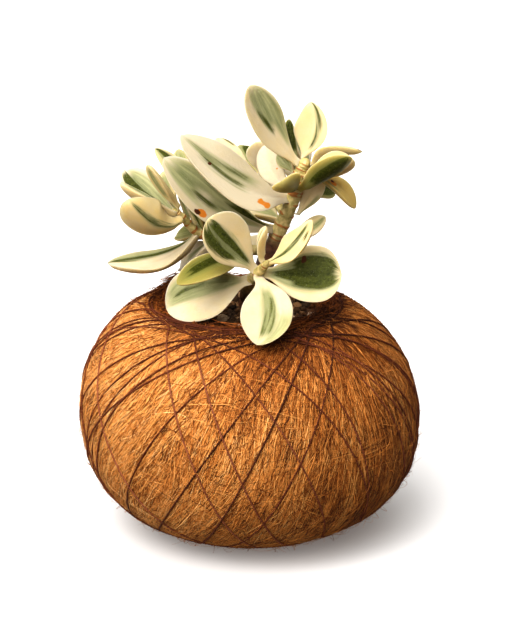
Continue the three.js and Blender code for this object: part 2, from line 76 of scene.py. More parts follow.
# The twine: its turns as azimuth of the high side, distance from the axis above and below
TWINE_LIFT = 0.2
TWINE_LAYER = 0.35
PASS_HEIGHT = 36
RIM_CLEARANCE = 29
FOOT_CLEARANCE = 31
CLEARANCE_SPREAD = 42
TWINE_TURNS = [
    (14, 22, 18),
    (164, 16, 13),
    (175, 13, 15),
    (210, 28, 4),
    (235, 34, -1),
    (254, 24, 14),
    (254, 27, 14),
    (267, 34, 15),
    (285, 34, 2),
    (313, 33, 13),
    (343, 27, 24),
    (358, 22, 17),
    (249, 24, 7),
    (279, 31, 7),
    (293, 36, 32),
    (293, 25, 16),
    (235, 23, -5),
    (112, 24, 14),
    (74, 30, 18),
    (134, 30, 18),
]

# Stems: points along each with the radius there
STEMS = {
    "trunk": [
        (-0.5, 9, 62, 3.2), (0, 9, 71.5, 3.4), (3, 8.5, 78, 3), (6, 8, 87, 2.9), (9, 7.5, 94, 2.6),
        (11.5, 7, 100.5, 2.3), (14.5, 6.5, 108, 2.2), (16.5, 6, 115.5, 2.2), (18, 6, 119, 1.8),
    ],
    "front_shoot": [
        (1, 8, 73.5, 2.2), (-1, 4, 75.5, 2), (0, -4, 81, 1.9), (1.5, -11, 86, 1.8),
        (3.5, -16, 89.5, 1.6), (5.5, -19.5, 93, 1),
    ],
    "left_shoot": [
        (7, 8, 89, 1.8), (4.5, 8, 89.5, 1.7), (-4.5, 8, 90.5, 1.6), (-16, 6, 96, 1.4),
        (-21, 4.5, 101.5, 1.2), (-23, 4, 103.5, 0.9),
    ],
    "back_shoot": [
        (11.5, 8, 99, 1.6), (11.5, 10.5, 100.5, 1.5), (9, 17, 103.5, 1.4), (5.5, 23, 107, 1.2),
        (3.5, 26, 110, 0.9),
    ],
}

# Leaves: stem, place on it in points of STEMS, tip, way the upper face looks, width and form, then the
# markings. Stripes and fields are (place across at the foot, at the tip, half width, start, end), with
# across from -1 to 1 and along from 0 to 1: "grey" is the soft grey-green, "dark" the deep green.
# "warm" is how yellow the pale part is, "olive_shade" how far the whole leaf turns dark yellow-green,
# partly its own green and partly painted shade on leaves in shadow, and "spots" are brown and "scars"
# orange patches, as (across, along, size, depth).
USUAL_LEAF = dict(
    stem="trunk", thick=3.2, bow=0, sway=0, bend=0.5, peak=0.62, blunt=2.3, cup=0.12, neck=0.2, off=0.4,
    side=None, grey=[], dark=[], warm=0.3, olive_shade=0, spots=[], scars=[]
)
HIDDEN_MARKING = dict(grey=[(0, 0, 0.35, 0.1, 0.9)], dark=[(0.1, 0.1, 0.06, 0.2, 0.8)])
LEAVES = {
    "front_upper_left": dict(stem="front_shoot", at=3.8, tip=(-12.5, -20, 107.5), face=(0.1, -0.9, 0.5),
        width=15.5, bow=0.03, sway=-0.01, blunt=3, grey=[(-0.1, -0.3, 0.48, 0.1, 0.96)],
        dark=[(-0.45, -0.6, 0.24, 0.35, 0.95), (0, 0, 0.22, 0.12, 0.95)]),
    "front_upright": dict(stem="front_shoot", at=4.7, tip=(5.5, -20, 105), face=(-1, -0.1, 0.2),
        width=5.5, bow=0.2, thick=2.6, off=1, side=(-0.6, 0, 0.8), grey=[(0, 0, 0.3, 0.3, 0.9)],
        warm=0.35),
    "front_upper_right": dict(stem="front_shoot", at=4.9, tip=(19.5, -21, 107.5),
        face=(-0.4, -0.6, 0.7), width=9.5, bow=-0.05, sway=0.22, peak=0.46, blunt=1.5,
        side=(0.8, -0.2, 0.5), grey=[(0.1, -0.15, 0.2, 0, 0.9)],
        dark=[(0.1, -0.25, 0.12, 0, 0.9), (0.6, 0.45, 0.2, 0.68, 0.84)], warm=0.6),
    "front_right": dict(stem="front_shoot", at=3.9, tip=(29, -20, 89.5), face=(0, -0.8, 0.6), width=19,
        bow=0.03, sway=0.07, blunt=3, grey=[(0, -0.1, 0.72, 0.02, 0.96)],
        dark=[(0, -0.15, 0.62, 0.36, 0.94), (0, 0, 0.3, 0.1, 0.8)], warm=0.35,
        spots=[(-0.55, 0.5, 1.1, 0.8)]),
    "front_drooping": dict(stem="front_shoot", at=3.9, tip=(2.5, -41.5, 73.5), face=(0, -0.3, 0.9),
        width=16, bow=0.1, sway=-0.22, blunt=2.4, off=0.5,
        grey=[(0.05, -0.2, 0.35, 0.2, 0.92), (-0.97, -0.7, 0.34, 0.6, 0.99)],
        dark=[(-0.1, -0.35, 0.09, 0.35, 0.85), (0.2, -0.02, 0.07, 0.3, 0.88)], warm=0.15, olive_shade=0.15),
    "front_left": dict(stem="front_shoot", at=2.8, tip=(-26, -13, 76.5), face=(0.1, -0.7, 0.7),
        width=19, bow=0.1, sway=-0.02, peak=0.52, blunt=2.6, grey=[(0.3, 0.4, 0.5, 0.05, 0.97)],
        dark=[(0.3, 0.35, 0.1, 0.45, 0.85)], warm=0.15, olive_shade=0.08),
    "low_left": dict(stem="left_shoot", at=1.6, tip=(-22, -27, 88.5), face=(0.3, -0.4, 0.9), width=10,
        bow=0.14, sway=-0.07, blunt=2, off=0.55, side=(-0.1, -0.9, -0.3),
        grey=[(0.3, 0.3, 0.6, 0, 0.95)], dark=[(0.4, 0.3, 0.3, 0.15, 0.85)], warm=0.7, olive_shade=1.0),
    "left_lower": dict(stem="left_shoot", at=4.1, tip=(-38, -6, 110), face=(-0.1, 1, 0.3), width=13.5,
        bow=-0.18, sway=0.38, bend=0.4, peak=0.5, blunt=2.6, cup=0.3, off=0.8,
        grey=[(-0.25, -0.3, 0.14, 0, 0.95)], dark=[(-0.3, -0.3, 0.1, 0, 0.95)], warm=0.6, olive_shade=0.05),
    "left_outer": dict(stem="left_shoot", at=4.7, tip=(-40, 13, 115), face=(0.2, -0.8, 0.6), width=11.5,
        bow=-0.05, sway=-0.05, blunt=1.9, off=0.6, side=(-1, 0.5, 0.1), grey=[(0.2, 0, 0.6, 0, 0.92)],
        dark=[(-0.4, -0.35, 0.38, 0.1, 0.97)], warm=0),
    "left_small": dict(stem="left_shoot", at=4.7, tip=(-40.5, 0, 114), face=(0.1, 0, 1), width=6.5,
        bow=-0.05, off=0.9, side=(-0.8, -0.7, 0.4), grey=[(0.5, 0.5, 0.5, 0.3, 0.9)],
        dark=[(0.5, 0.5, 0.1, 0.4, 0.8)], warm=0.4),
    "left_upright": dict(stem="left_shoot", at=5, tip=(-32, 1, 119.5), face=(-0.8, -0.6, 0.1), width=5,
        bow=0.06, thick=2.6, grey=[(0, 0, 0.5, 0.3, 0.95)], warm=0.45, olive_shade=0.1),
    "left_inner": dict(stem="left_shoot", at=4.7, tip=(-27, 21, 112.9), face=(-0.3, -0.9, 0.3),
        width=6.5, bow=0.05, sway=-0.15, off=0.6, side=(0.2, 1, 0), grey=[(0, 0, 0.5, 0, 0.9)],
        warm=0.5, olive_shade=0.15),
    "left_long": dict(stem="left_shoot", at=3, tip=(-45, 0, 87.5), face=(0, -0.2, 1), width=13.5,
        bow=-0.34, bend=0.4, blunt=1.6, grey=[(0.75, 0.62, 0.38, 0, 1)],
        dark=[(0.55, 0.5, 0.17, 0.1, 1)], warm=0.15),
    "left_node": dict(stem="left_shoot", at=2.9, tip=(-18, 2, 107), face=(-0.8, -0.5, 0.3), width=7,
        grey=[(0, 0, 1, 0, 1)], dark=[(0, 0, 0.4, 0, 1)], warm=0.6, olive_shade=0.7),
    "back_long": dict(stem="left_shoot", at=3.3, tip=(-30, 13, 122), face=(0.5, -0.6, 0.6), width=8.5,
        bow=0.15, sway=0.12, blunt=1.6, off=0.6, side=(0.2, 0.7, 0.7), grey=[(0, 0, 0.5, 0.1, 1)],
        dark=[(0.3, 0.3, 0.35, 0.75, 1.1)], warm=0.4, olive_shade=0.3),
    "left_tall": dict(stem="left_shoot", at=3.7, tip=(-23, 36, 116.5), face=(0.2, -0.8, 0.6), width=7,
        off=1.1, side=(0.1, 1, -0.5), grey=[(0, 0, 0.8, 0, 1)], warm=0.4, olive_shade=0.35),
    "left_back": dict(stem="left_shoot", at=2.8, tip=(-24, 24, 90), face=(0.1, -0.8, 0.6), width=9,
        sway=0.2, grey=[(0, 0, 0.9, 0, 1)], warm=0.4, olive_shade=0.55),
    "left_under": dict(stem="left_shoot", at=2.6, tip=(-22.5, 16, 81.5), face=(0.3, -0.5, 0.8),
        width=11, grey=[(0, 0, 0.3, 0, 0.7)], warm=0),
    "large_lower": dict(at=4.3, tip=(-26.5, -4, 123), face=(0.2, -0.7, 0.7), width=16.5, bow=0.06,
        sway=-0.26,
        grey=[(0.75, 0.45, 0.4, 0.1, 0.97), (0.1, 0.1, 0.62, 0.62, 0.98), (0, 0, 0.3, 0.1, 0.6)],
        # The deep green stripe at the foot is painted shadow of the leaf above
        dark=[(0.6, 0.6, 0.28, 0, 0.4), (-0.15, -0.05, 0.16, 0.5, 0.7)], warm=0,
        spots=[(-0.8, 0.62, 1.4, 1)], scars=[(-0.72, 0.59, 1.9, 1)]),
    "large_upper": dict(at=5.8, tip=(-21, -10, 131.5), face=(0.1, -0.6, 0.8), width=19.5, bow=0.04,
        sway=-0.32, peak=0.52, blunt=2.6,
        grey=[(0.5, 0.15, 0.2, 0.3, 0.97), (0, -0.1, 0.14, 0.42, 0.84)],
        dark=[(0, -0.05, 0.1, 0.46, 0.8), (0.5, 0.2, 0.07, 0.4, 0.97)], warm=-0.1,
        spots=[(-0.02, 0.74, 0.5, 1)], scars=[(-0.45, 0.28, 1.5, 1), (-0.7, 0.23, 1.3, 1)]),
    "top_left": dict(at=7.7, tip=(0.5, 4, 144.5), face=(0.5, -0.7, 0.5), width=14, bow=-0.06,
        sway=-0.14, blunt=2.6, grey=[(1, 0.45, 0.42, 0.2, 0.97), (0.75, -0.15, 0.4, 0.45, 0.96)],
        dark=[(0.55, -0.4, 0.1, 0.42, 0.72)], warm=0.2),
    "top_upright": dict(at=8, tip=(19.5, 14, 137), face=(-0.2, -1, 0.2), width=11, bow=-0.05, sway=0.18,
        peak=0.5, blunt=1.6, neck=0.1, grey=[(0.2, 0.55, 0.18, 0.2, 1)],
        dark=[(0.25, 0.6, 0.14, 0.2, 1)], warm=0.4),
    "top_right": dict(at=8, tip=(36, 2, 123.5), face=(0, 0.2, 1), width=8, bow=0.4, bend=0.3, peak=0.4,
        blunt=1.5, olive_shade=0.3, spots=[(0, 1, 1.3, 1)]),
    # The dark green over most of top_front and top_front_left is largely painted shade
    "top_front": dict(at=6.5, tip=(31, -13, 125.5), face=(-0.3, 0.8, 0.4), width=10, off=0.8,
        side=(0.3, -1, 0), grey=[(0, 0, 0.9, 0.1, 1)],
        dark=[(0.1, 0.3, 0.45, 0.3, 1), (-0.45, -0.3, 0.16, 0.1, 0.8)], warm=0.9, olive_shade=0.9,
        spots=[(0.5, 0.75, 1.2, 0.8)], scars=[(-0.9, 0.7, 1.2, 0.7)]),
    "top_front_left": dict(at=6.6, tip=(10, -9, 116.5), face=(-0.5, 0.3, 0.8), width=10, bow=-0.15,
        sway=-0.1, off=0.8, side=(-0.8, -0.6, 0), grey=[(0.2, 0.1, 0.7, 0, 0.6)],
        dark=[(0.3, 0.2, 0.45, 0, 0.5)], warm=0.6, olive_shade=0.8, scars=[(-0.1, 0.6, 0.7, 0.8)]),
    "top_right_lower": dict(at=7.1, tip=(33, -2.5, 122), face=(0.1, 0.9, 0.5), width=10, warm=0.7),
    "top_drooping": dict(at=7.1, tip=(34, 4, 104.5), face=(0.6, -0.5, 0.6), width=7, bow=0.29, off=0.55,
        side=(0.9, 0.4, 0.1), grey=[(0.8, 0.8, 0.15, 0, 0.6)], warm=1.4, olive_shade=0.1,
        scars=[(-0.2, 0.25, 2.2, 1), (0.3, 0.45, 1.3, 0.8)], spots=[(0.2, 0.42, 0.8, 0.8)]),
    "stem_right": dict(at=5.3, tip=(23.5, 9, 114), face=(0.3, -0.9, 0.3), width=6.5, off=1.3,
        side=(1, -0.3, -0.2), grey=[(0.7, 0.7, 0.2, 0, 0.6)], scars=[(-0.4, 0.85, 0.9, 0.9)]),
    "stem_back_right": dict(at=6.3, tip=(28, 26, 105), face=(0.3, -0.8, 0.6), width=7.5,
        side=(0.5, 1, 0), grey=[(0, 0, 1, 0, 1)], dark=[(0, 0, 0.7, 0, 1)], olive_shade=0.7),
    "stem_left": dict(at=6.2, tip=(5.5, 23, 121), face=(-0.3, -0.9, 0.1), width=9.5, sway=-0.15,
        off=0.6, side=(-0.7, 0.7, 0), warm=0, scars=[(0.35, 0.45, 0.6, 0.7)]),
    "back_upright": dict(stem="back_shoot", at=3.8, tip=(3.5, 24, 122), face=(0, -1, 0), width=9,
        off=0.7, side=(0, 0, 1), warm=0.1),
    "top_back_left": dict(at=7.45, tip=(13, 18, 130.5), face=(0.3, -0.9, 0.1), width=4, sway=-0.15,
        off=0.6, side=(-0.35, 1, 0), grey=[(0, 0, 1, 0, 1)], dark=[(0, 0, 0.8, 0.3, 1)], warm=0.1,
        olive_shade=0.3),
    "top_back": dict(at=7.4, tip=(15, 36, 122), face=(0.3, -0.9, 0.1), width=8, side=(0.7, 0.7, 0),
        grey=[(0, 0, 0.7, 0, 0.7)], warm=0.2),
    "back_left": dict(stem="back_shoot", at=3.8, tip=(-10.5, 33, 121), face=(0.3, -0.6, 0.7), width=7.5,
        sway=-0.12, off=0.7, side=(-0.8, 0.6, -0.1), dark=[(0.8, 0.8, 0.12, 0.7, 0.95)]),
    "back_far": dict(stem="back_shoot", at=4, tip=(-1.5, 50, 114.5), face=(0.3, -0.6, 0.7), width=9,
        side=(0.5, 1, -0.1), grey=[(0, 0, 1, 0, 1)], dark=[(0, 0, 0.5, 0, 1)], warm=0.2, olive_shade=0.5),
    "top_under": dict(at=7, tip=(9, 13, 120), face=(0.1, -1, -0.3), width=5.5, sway=0.15,
        side=(-0.9, 0.5, 0), grey=[(0, 0, 0.9, 0, 1)]),
    "low_right": dict(at=4.1, tip=(24.5, 8, 101), face=(0.2, -0.5, 0.8), width=6.5, sway=0.22,
        grey=[(0.2, 0.2, 0.4, 0, 1)], olive_shade=0.15),
    "low_back_left": dict(at=4.8, tip=(0.5, 22, 100.5), face=(0.2, -0.5, 0.8), width=9,
        grey=[(0, 0, 0.6, 0, 0.6)], olive_shade=0.2),
    "back_right": dict(stem="back_shoot", at=2.8, tip=(14, 46, 103.5), face=(0.1, 0.6, 0.8), width=12,
        bow=-0.1, side=(0.5, 0.8, -0.2), **HIDDEN_MARKING),
    "low_back": dict(at=3.4, tip=(4.5, 36, 87), face=(0, 0.6, 0.8), width=13, bow=-0.15, off=0.9,
        side=(0, 1, -0.3), **HIDDEN_MARKING),
    "stem_back": dict(at=6.7, tip=(16.5, 38, 113), face=(0, 0.6, 0.8), width=10, bow=-0.1, off=0.7,
        side=(-0.2, 1, -0.2), **HIDDEN_MARKING),
}

# Pebbles of pumice and bark on the soil: x, y, size, height over width, turn
PEBBLES = [
    (-8.5, -9, 4.6, 0.75, 0.3),
    (-2.2, -14.5, 2.9, 0.8, 1.1),
    (-16, -5, 3.2, 0.7, 0.6),
    (14, -6, 3.6, 0.8, 1.7),
    (20, -1.5, 2.7, 0.75, 0.2),
    (13, 16, 4.2, 0.7, 0.9),
    (-12, 15, 3.4, 0.8, 0.4),
]
PEBBLE_RISE = 0.35


def add_object(name, data):
    item = bpy.data.objects.new(name, data)
    bpy.context.scene.collection.objects.link(item)
    return item


def add_piece(name, points, faces, material, node, values=None):
    """A smooth mesh piece from points in millimetres, with a float attribute for each of values."""
    faces = np.asarray(faces, dtype=np.int32)
    sides = faces.shape[1]
    mesh = bpy.data.meshes.new(name)
    mesh.vertices.add(len(points))
    mesh.vertices.foreach_set("co", (np.asarray(points) * MM).astype(np.float32).ravel())
    mesh.loops.add(faces.size)
    mesh.loops.foreach_set("vertex_index", faces.ravel())
    mesh.polygons.add(len(faces))
    mesh.polygons.foreach_set("loop_start", np.arange(len(faces), dtype=np.int32) * sides)
    mesh.polygons.foreach_set("use_smooth", np.ones(len(faces), dtype=bool))
    mesh.update(calc_edges=True)
    for key, numbers in (values or {}).items():
        attribute = mesh.attributes.new(key, "FLOAT", "POINT")
        attribute.data.foreach_set("value", np.asarray(numbers, dtype=np.float32).ravel())
    mesh.materials.append(material)
    piece = add_object(name, mesh)
    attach(piece, "root")
    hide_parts(node)


def strand_faces(count, stations, across, is_round, is_loop=False):
    """Quads of strands laid one after another, each a run of stations with points across it."""
    sides = across if is_round else across - 1
    runs = stations if is_loop else stations - 1
    station = np.arange(runs)[:, None]
    side = np.arange(sides)[None, :]
    after = (station + 1) % stations
    beside = (side + 1) % across
    corners = [
        station * across + side,
        station * across + beside,
        after * across + beside,
        after * across + side,
    ]
    quads = np.stack(corners, -1).reshape(-1, 4)
    start = np.arange(count)[:, None, None] * stations * across
    return (quads[None] + start).reshape(-1, 4)


def ribbon_points(path, side):
    """Two points at each station of flat strands, one on each side."""
    return np.stack([path - side, path + side], 2).reshape(-1, 3)


def ring_points(path, first, first_reach, second, second_reach):
    """Points round each station of a path, as reaches along two directions there."""
    aside = first[:, None] * first_reach[..., None]
    return (path[:, None] + aside + second[:, None] * second_reach[..., None]).reshape(-1, 3)


def unit(vectors):
    return vectors / np.maximum(np.linalg.norm(vectors, axis=-1, keepdims=True), 1e-9)


def smooth_step(low, high, value):
    part = np.clip((value - low) / (high - low), 0, 1)
    return part * part * (3 - 2 * part)


def bell(value, middle, spread):
    """1 at the middle and falling away on both sides."""
    return np.exp(-(((value - middle) / spread) ** 2))


# Ball shape
def ball_reach(azimuth, elevation):
    """How far the ball's surface is from its middle in a direction."""
    is_upper = elevation >= 0
    roundness = np.where(is_upper, UPPER_ROUNDNESS, LOWER_ROUNDNESS)
    height = np.where(is_upper, UPPER_REACH, LOWER_REACH)
    across = np.abs(np.cos(elevation)) / BALL_RADIUS
    up = np.abs(np.sin(elevation)) / height
    reach = (across**roundness + up**roundness) ** (-1 / roundness)
    lip = LIP_HEIGHT / np.maximum(np.sin(elevation), 0.2)
    reach = (reach ** -float(LIP_SHARPNESS) + lip ** -float(LIP_SHARPNESS)) ** (-1 / LIP_SHARPNESS)
    for lump_azimuth, lump_elevation, lump_height, spread in LUMPS:
        away = azimuth - math.radians(lump_azimuth)
        centre = math.radians(lump_elevation)
        nearness = np.sin(elevation) * math.sin(centre)
        nearness = nearness + np.cos(elevation) * math.cos(centre) * np.cos(away)
        reach = reach + lump_height * np.exp((nearness - 1) / math.radians(spread) ** 2)
    return np.minimum(reach, BALL_MIDDLE_HEIGHT / np.maximum(-np.sin(elevation), 1e-6))


def lean(points):
    """From the ball's own middle to the shared frame."""
    moved = points.copy()
    moved[..., 0] -= BALL_LEAN * points[..., 2]
    moved[..., 2] += BALL_MIDDLE_HEIGHT
    return moved


def skin(azimuth, elevation, lift):
    """Points of the fibre's surface, lifted off it, and turned in over the lip high up."""
    base = np.minimum(elevation, LIP_START)
    reach = ball_reach(azimuth, base)
    beyond = np.maximum(elevation - LIP_START, 0) * LIP_ARC
    turned_radius = reach * np.cos(base) + np.interp(beyond, LIP_ALONG, LIP_IN)
    turned_radius = turned_radius + lift * np.interp(beyond, LIP_ALONG, LIP_FACES_OUT)
    turned_height = reach * np.sin(base) + np.interp(beyond, LIP_ALONG, LIP_DOWN)
    turned_height = turned_height + lift * np.interp(beyond, LIP_ALONG, LIP_FACES_UP)
    radius = np.where(beyond > 0, turned_radius, (reach + lift) * np.cos(base))
    height = np.where(beyond > 0, turned_height, (reach + lift) * np.sin(base))
    height = np.maximum(height, FOOT_GAP - BALL_MIDDLE_HEIGHT)
    return lean(np.stack([radius * np.cos(azimuth), radius * np.sin(azimuth), height], -1))


def direction_of(azimuth, elevation):
    flat = np.cos(elevation)
    return np.stack([flat * np.cos(azimuth), flat * np.sin(azimuth), np.sin(elevation)], -1)


def angles_of(directions):
    azimuth = np.arctan2(directions[..., 1], directions[..., 0])
    return azimuth, np.arcsin(np.clip(directions[..., 2], -1, 1))


# Materials
def feed(tree, socket, value):
    """Give an input a number, a colour or another node's output."""
    if isinstance(value, bpy.types.NodeSocket):
        tree.links.new(value, socket)
    elif socket.type == "RGBA":
        socket.default_value = (*value, 1)
    else:
        socket.default_value = value


def add_node(tree, kind, inputs, **settings):
    node = tree.nodes.new("ShaderNode" + kind)
    for key, value in settings.items():
        setattr(node, key, value)
    for key, value in inputs.items():
        feed(tree, node.inputs[key], value)
    return node


class Look:
    """A material in the making. Amounts and colours are given as values or as other nodes' outputs."""

    def __init__(self, name, roughness, specular):
        self.material = bpy.data.materials.new(name)
        self.material.use_nodes = True
        self.tree = self.material.node_tree
        self.shader = self.tree.nodes["Principled BSDF"]
        self.set("Roughness", roughness)
        self.set("Specular IOR Level", specular)

    def set(self, name, value):
        feed(self.tree, self.shader.inputs[name], value)

    def read(self, name):
        """A value that each point of the piece carries."""
        return add_node(self.tree, "Attribute", {}, attribute_name=name).outputs["Fac"]

    def calculate(self, operation, first, second=0.0, third=0.0):
        inputs = {0: first, 1: second, 2: third}
        return add_node(self.tree, "Math", inputs, operation=operation).outputs[0]

    def times(self, first, second):
        return self.calculate("MULTIPLY", first, second)

    def vary(self, base, texture, amount):
        """The base, moved up and down by a texture's swing about its middle."""
        return self.calculate("MULTIPLY_ADD", self.calculate("SUBTRACT", texture, 0.5), amount, base)

    def blend(self, amount, first, second, mode="MIX"):
        inputs = {0: amount, 6: first, 7: second}
        return add_node(self.tree, "Mix", inputs, data_type="RGBA", blend_type=mode).outputs[2]

    def ramp(self, value, *stops):
        """A colour for a value from 0 to 1, from stops of a place and its colour."""
        node = add_node(self.tree, "ValToRGB", {"Fac": value})
        elements = node.color_ramp.elements
        while len(elements) < len(stops):
            elements.new(0.5)
        for element, (place, colour) in zip(elements, stops):
            element.position = place
            element.color = (*colour, 1)
        return node.outputs["Color"]

    def grade(self, value, low, high):
        """0 below low, 1 above high, smooth between."""
        inputs = {"Value": value, "From Min": low, "From Max": high}
        node = add_node(self.tree, "MapRange", inputs, interpolation_type="SMOOTHSTEP")
        return node.outputs["Result"]

    def noise(self, scale, detail=3.0, roughness=0.5, place=None):
        """A cloudy texture, by default fixed to the object."""
        if place is None:
            place = add_node(self.tree, "TexCoord", {}).outputs["Object"]
        inputs = {"Scale": scale, "Detail": detail, "Roughness": roughness, "Vector": place}
        return add_node(self.tree, "TexNoise", inputs).outputs["Fac"]

    def finish(self, colour, height=None, distance=0.0, strength=1.0):
        """The material with its colour, and with fine relief where a height is given."""
        self.set("Base Color", colour)
        if height is not None:
            inputs = {"Height": height, "Distance": distance, "Strength": strength}
            self.set("Normal", add_node(self.tree, "Bump", inputs).outputs["Normal"])
        return self.material


def make_fibre_material():
    look = Look("coir_fibre", 0.7, 0.15)
    tint = look.vary(look.read("tint"), look.noise(60), 0.4)
    tint = look.vary(tint, look.noise(620, 2, 0.6), 0.45)
    colour = look.ramp(
        tint,
        (0.0, (0.06, 0.014, 0.003)),
        (0.25, (0.32, 0.1, 0.016)),
        (0.5, (0.7, 0.3, 0.072)),
        (0.75, (0.86, 0.47, 0.155)),
        (1.0, (0.96, 0.64, 0.3)),
    )
    return look.finish(colour)


# Grainy materials: roughness, specular, grain scale, detail and roughness, relief and colours
GRAINY_LOOKS = {
    # The coir mat is coloured dark as painted shade for the gaps between the fibres
    "coir_mat": (0.9, 0.2, (900, 4, 0.7), 0.0006, [
        (0.3, (0.07, 0.022, 0.006)), (0.7, (0.3, 0.11, 0.024)),
    ]),
    "potting_soil": (0.95, 0.2, (1400, 5, 0.65), 0.0012, [
        (0.35, (0.035, 0.02, 0.011)), (0.55, (0.14, 0.08, 0.045)), (0.75, (0.3, 0.19, 0.11)),
    ]),
    "pumice": (0.92, 0.25, (1300, 5, 0.7), 0.0006, [
        (0.3, (0.3, 0.19, 0.12)), (0.5, (0.66, 0.48, 0.32)), (0.75, (0.9, 0.74, 0.58)),
    ]),
}


def make_grainy_material(name):
    roughness, specular, grain, relief, stops = GRAINY_LOOKS[name]
    look = Look(name, roughness, specular)
    grains = look.noise(*grain)
    return look.finish(look.ramp(grains, *stops), grains, relief)


def make_twine_material():
    look = Look("twine_thread", 0.75, 0.15)
    fine = look.noise(2500, 2, 0.6)
    colour = look.ramp(
        look.vary(look.read("tint"), fine, 0.9),
        (0.0, (0.035, 0.01, 0.004)),
        (0.5, (0.16, 0.045, 0.018)),
        (1.0, (0.46, 0.18, 0.09)),
    )
    return look.finish(colour, fine, 0.0002)


def make_crumb_material():
    look = Look("soil_crumb", 0.9, 0.25)
    colour = look.ramp(
        look.read("tint"),
        (0.0, (0.03, 0.016, 0.008)),
        (0.45, (0.2, 0.1, 0.04)),
        (0.75, (0.46, 0.26, 0.12)),
        (1.0, (0.75, 0.5, 0.29)),
    )
    grains = look.noise(2500)
    shade = look.ramp(grains, (0.2, (0.35, 0.35, 0.35)), (0.8, (1.2, 1.2, 1.2)))
    return look.finish(look.blend(0.6, colour, shade, "MULTIPLY"), grains, 0.0004)


def make_stem_material():
    """Green wood, orange at the leaf scars, turning to brown bark low down."""
    look = Look("stem_bark", 0.5, 0.45)
    streaks = look.noise(700, 4)
    green = look.ramp(streaks, (0.3, (0.3, 0.26, 0.08)), (0.7, (0.68, 0.55, 0.26)))
    brown = look.ramp(streaks, (0.3, (0.05, 0.015, 0.006)), (0.7, (0.2, 0.08, 0.035)))
    orange = look.ramp(streaks, (0.3, (0.14, 0.05, 0.012)), (0.7, (0.55, 0.24, 0.06)))
    scar = look.grade(look.vary(look.read("scar"), look.noise(350), 2.6), 0.45, 0.75)
    colour = look.blend(look.read("woody"), look.blend(scar, green, orange), brown)
    return look.finish(colour, look.noise(1500), 0.0003)


def make_leaf_material():
    """Cream with grey-green and deep green streaks, a warm edge, fine speckles, spots and scars."""
    look = Look("leaf_skin", 0.5, 0.08)
    look.set("Subsurface Weight", 0.75)
    look.set("Subsurface Radius", (1.0, 0.96, 0.78))
    look.set("Subsurface Scale", 0.0035)
    across = look.read("across")
    place = {0: look.times(across, 6.0), 1: look.times(look.read("along"), 1.6), 2: look.read("seed")}
    streaks = look.noise(1.0, 4, 0.62, add_node(look.tree, "CombineXYZ", place).outputs[0])
    clouds = look.noise(220)
    warm = look.vary(look.read("warm"), clouds, 0.7)
    colour = look.blend(warm, (0.62, 0.55, 0.41), (0.64, 0.48, 0.18))
    grey = look.grade(look.vary(look.read("grey"), streaks, 1.9), -0.55, 0.85)
    grey_colour = look.ramp(streaks, (0.3, (0.2, 0.22, 0.1)), (0.7, (0.46, 0.45, 0.26)))
    colour = look.blend(grey, colour, grey_colour)
    # Dark yellow-green over the whole leaf: partly its own green, partly painted shade on leaves in
    # shadow
    colour = look.blend(look.times(look.read("olive_shade"), 0.8), colour, (0.21, 0.2, 0.03))
    dark = look.grade(look.vary(look.read("dark"), streaks, 2.6), -0.3, 0.6)
    mottled = look.calculate("MULTIPLY_ADD", look.noise(1100, 3, 0.6), 0.6, look.times(streaks, 0.4))
    dark_colour = look.ramp(mottled, (0.35, (0.02, 0.027, 0.001)), (0.68, (0.1, 0.115, 0.012)))
    colour = look.blend(look.times(dark, 0.96), colour, dark_colour)
    edge = look.calculate("POWER", look.calculate("ABSOLUTE", across), 9.0)
    colour = look.blend(look.times(edge, 0.35), colour, (0.62, 0.46, 0.24))
    speckle = look.grade(look.noise(2600, 2, 0.6), 0.62, 0.72)
    colour = look.blend(look.times(speckle, 0.2), colour, (0.6, 0.6, 0.4))
    for name, fill in (("scar", (0.62, 0.24, 0.035)), ("spot", (0.09, 0.03, 0.012))):
        patch = look.grade(look.vary(look.read(name), clouds, 0.9), 0.4, 0.55)
        colour = look.blend(patch, colour, fill)
    return look.finish(colour, look.noise(900), 0.00025, 0.6)


# Coconut fibre
FIBRE_PIECES = 3
FIBRES_PER_PIECE = 15500
FIBRES_PER_BUNDLE = 20
FIBRE_STATIONS = 6
LOWEST_FIBRE = -88
HIGHEST_FIBRE = 58
CROSS_SHARE = 0.09
# Share of short dark strands that paint the shade in the gaps between fibres
SHADE_STRAND_SHARE = 0.2
BUNDLE_HALF_LENGTH = 11
BUNDLE_SPREAD = 3.4
FIBRE_HALF_WIDTH = 0.056
FIBRE_TINT = 0.575
# The ball's usual radius, which turns a length along the ball into an angle
MEAN_RADIUS = 48


def scatter(count, lowest, highest):
    """Azimuths and elevations spread evenly over the ball, between two elevations in degrees."""
    sine = random.uniform(math.sin(math.radians(lowest)), math.sin(math.radians(highest)), count)
    azimuth = random.uniform(-math.pi, math.pi, count)
    return azimuth, np.arcsin(sine)


def lay_direction(azimuth, elevation):
    """The way the fibres mostly run, as an angle up from east, over the ball."""
    right = (azimuth + math.pi / 2 + math.pi) % (2 * math.pi) - math.pi
    angle = 60 + 48 * smooth_step(0.25, 0.9, right) * smooth_step(-0.6, 0.1, elevation)
    angle = angle + 14 * np.sin(3.1 * right + 2.3 * elevation + 1)
    return np.radians(angle + 25 * smooth_step(1.6, 2.4, np.abs(right)))


def axes_on_ball(centre, heading):
    """Along the heading and beside it, at each place on the ball."""
    east = unit(np.stack([-centre[:, 1], centre[:, 0], np.zeros(len(centre))], -1))
    north = np.cross(centre, east)
    ahead = east * np.cos(heading)[:, None] + north * np.sin(heading)[:, None]
    return ahead, np.cross(centre, ahead)


def lay_on_ball(directions, height):
    """Paths at a height over the ball, with the directions beside them and away from the ball."""
    azimuth, elevation = angles_of(unit(directions))
    path = skin(azimuth, elevation, height)
    outward = unit(skin(azimuth, elevation, height + 1) - path)
    along = unit(np.gradient(path, axis=1))
    return path, unit(np.cross(along, outward)), outward


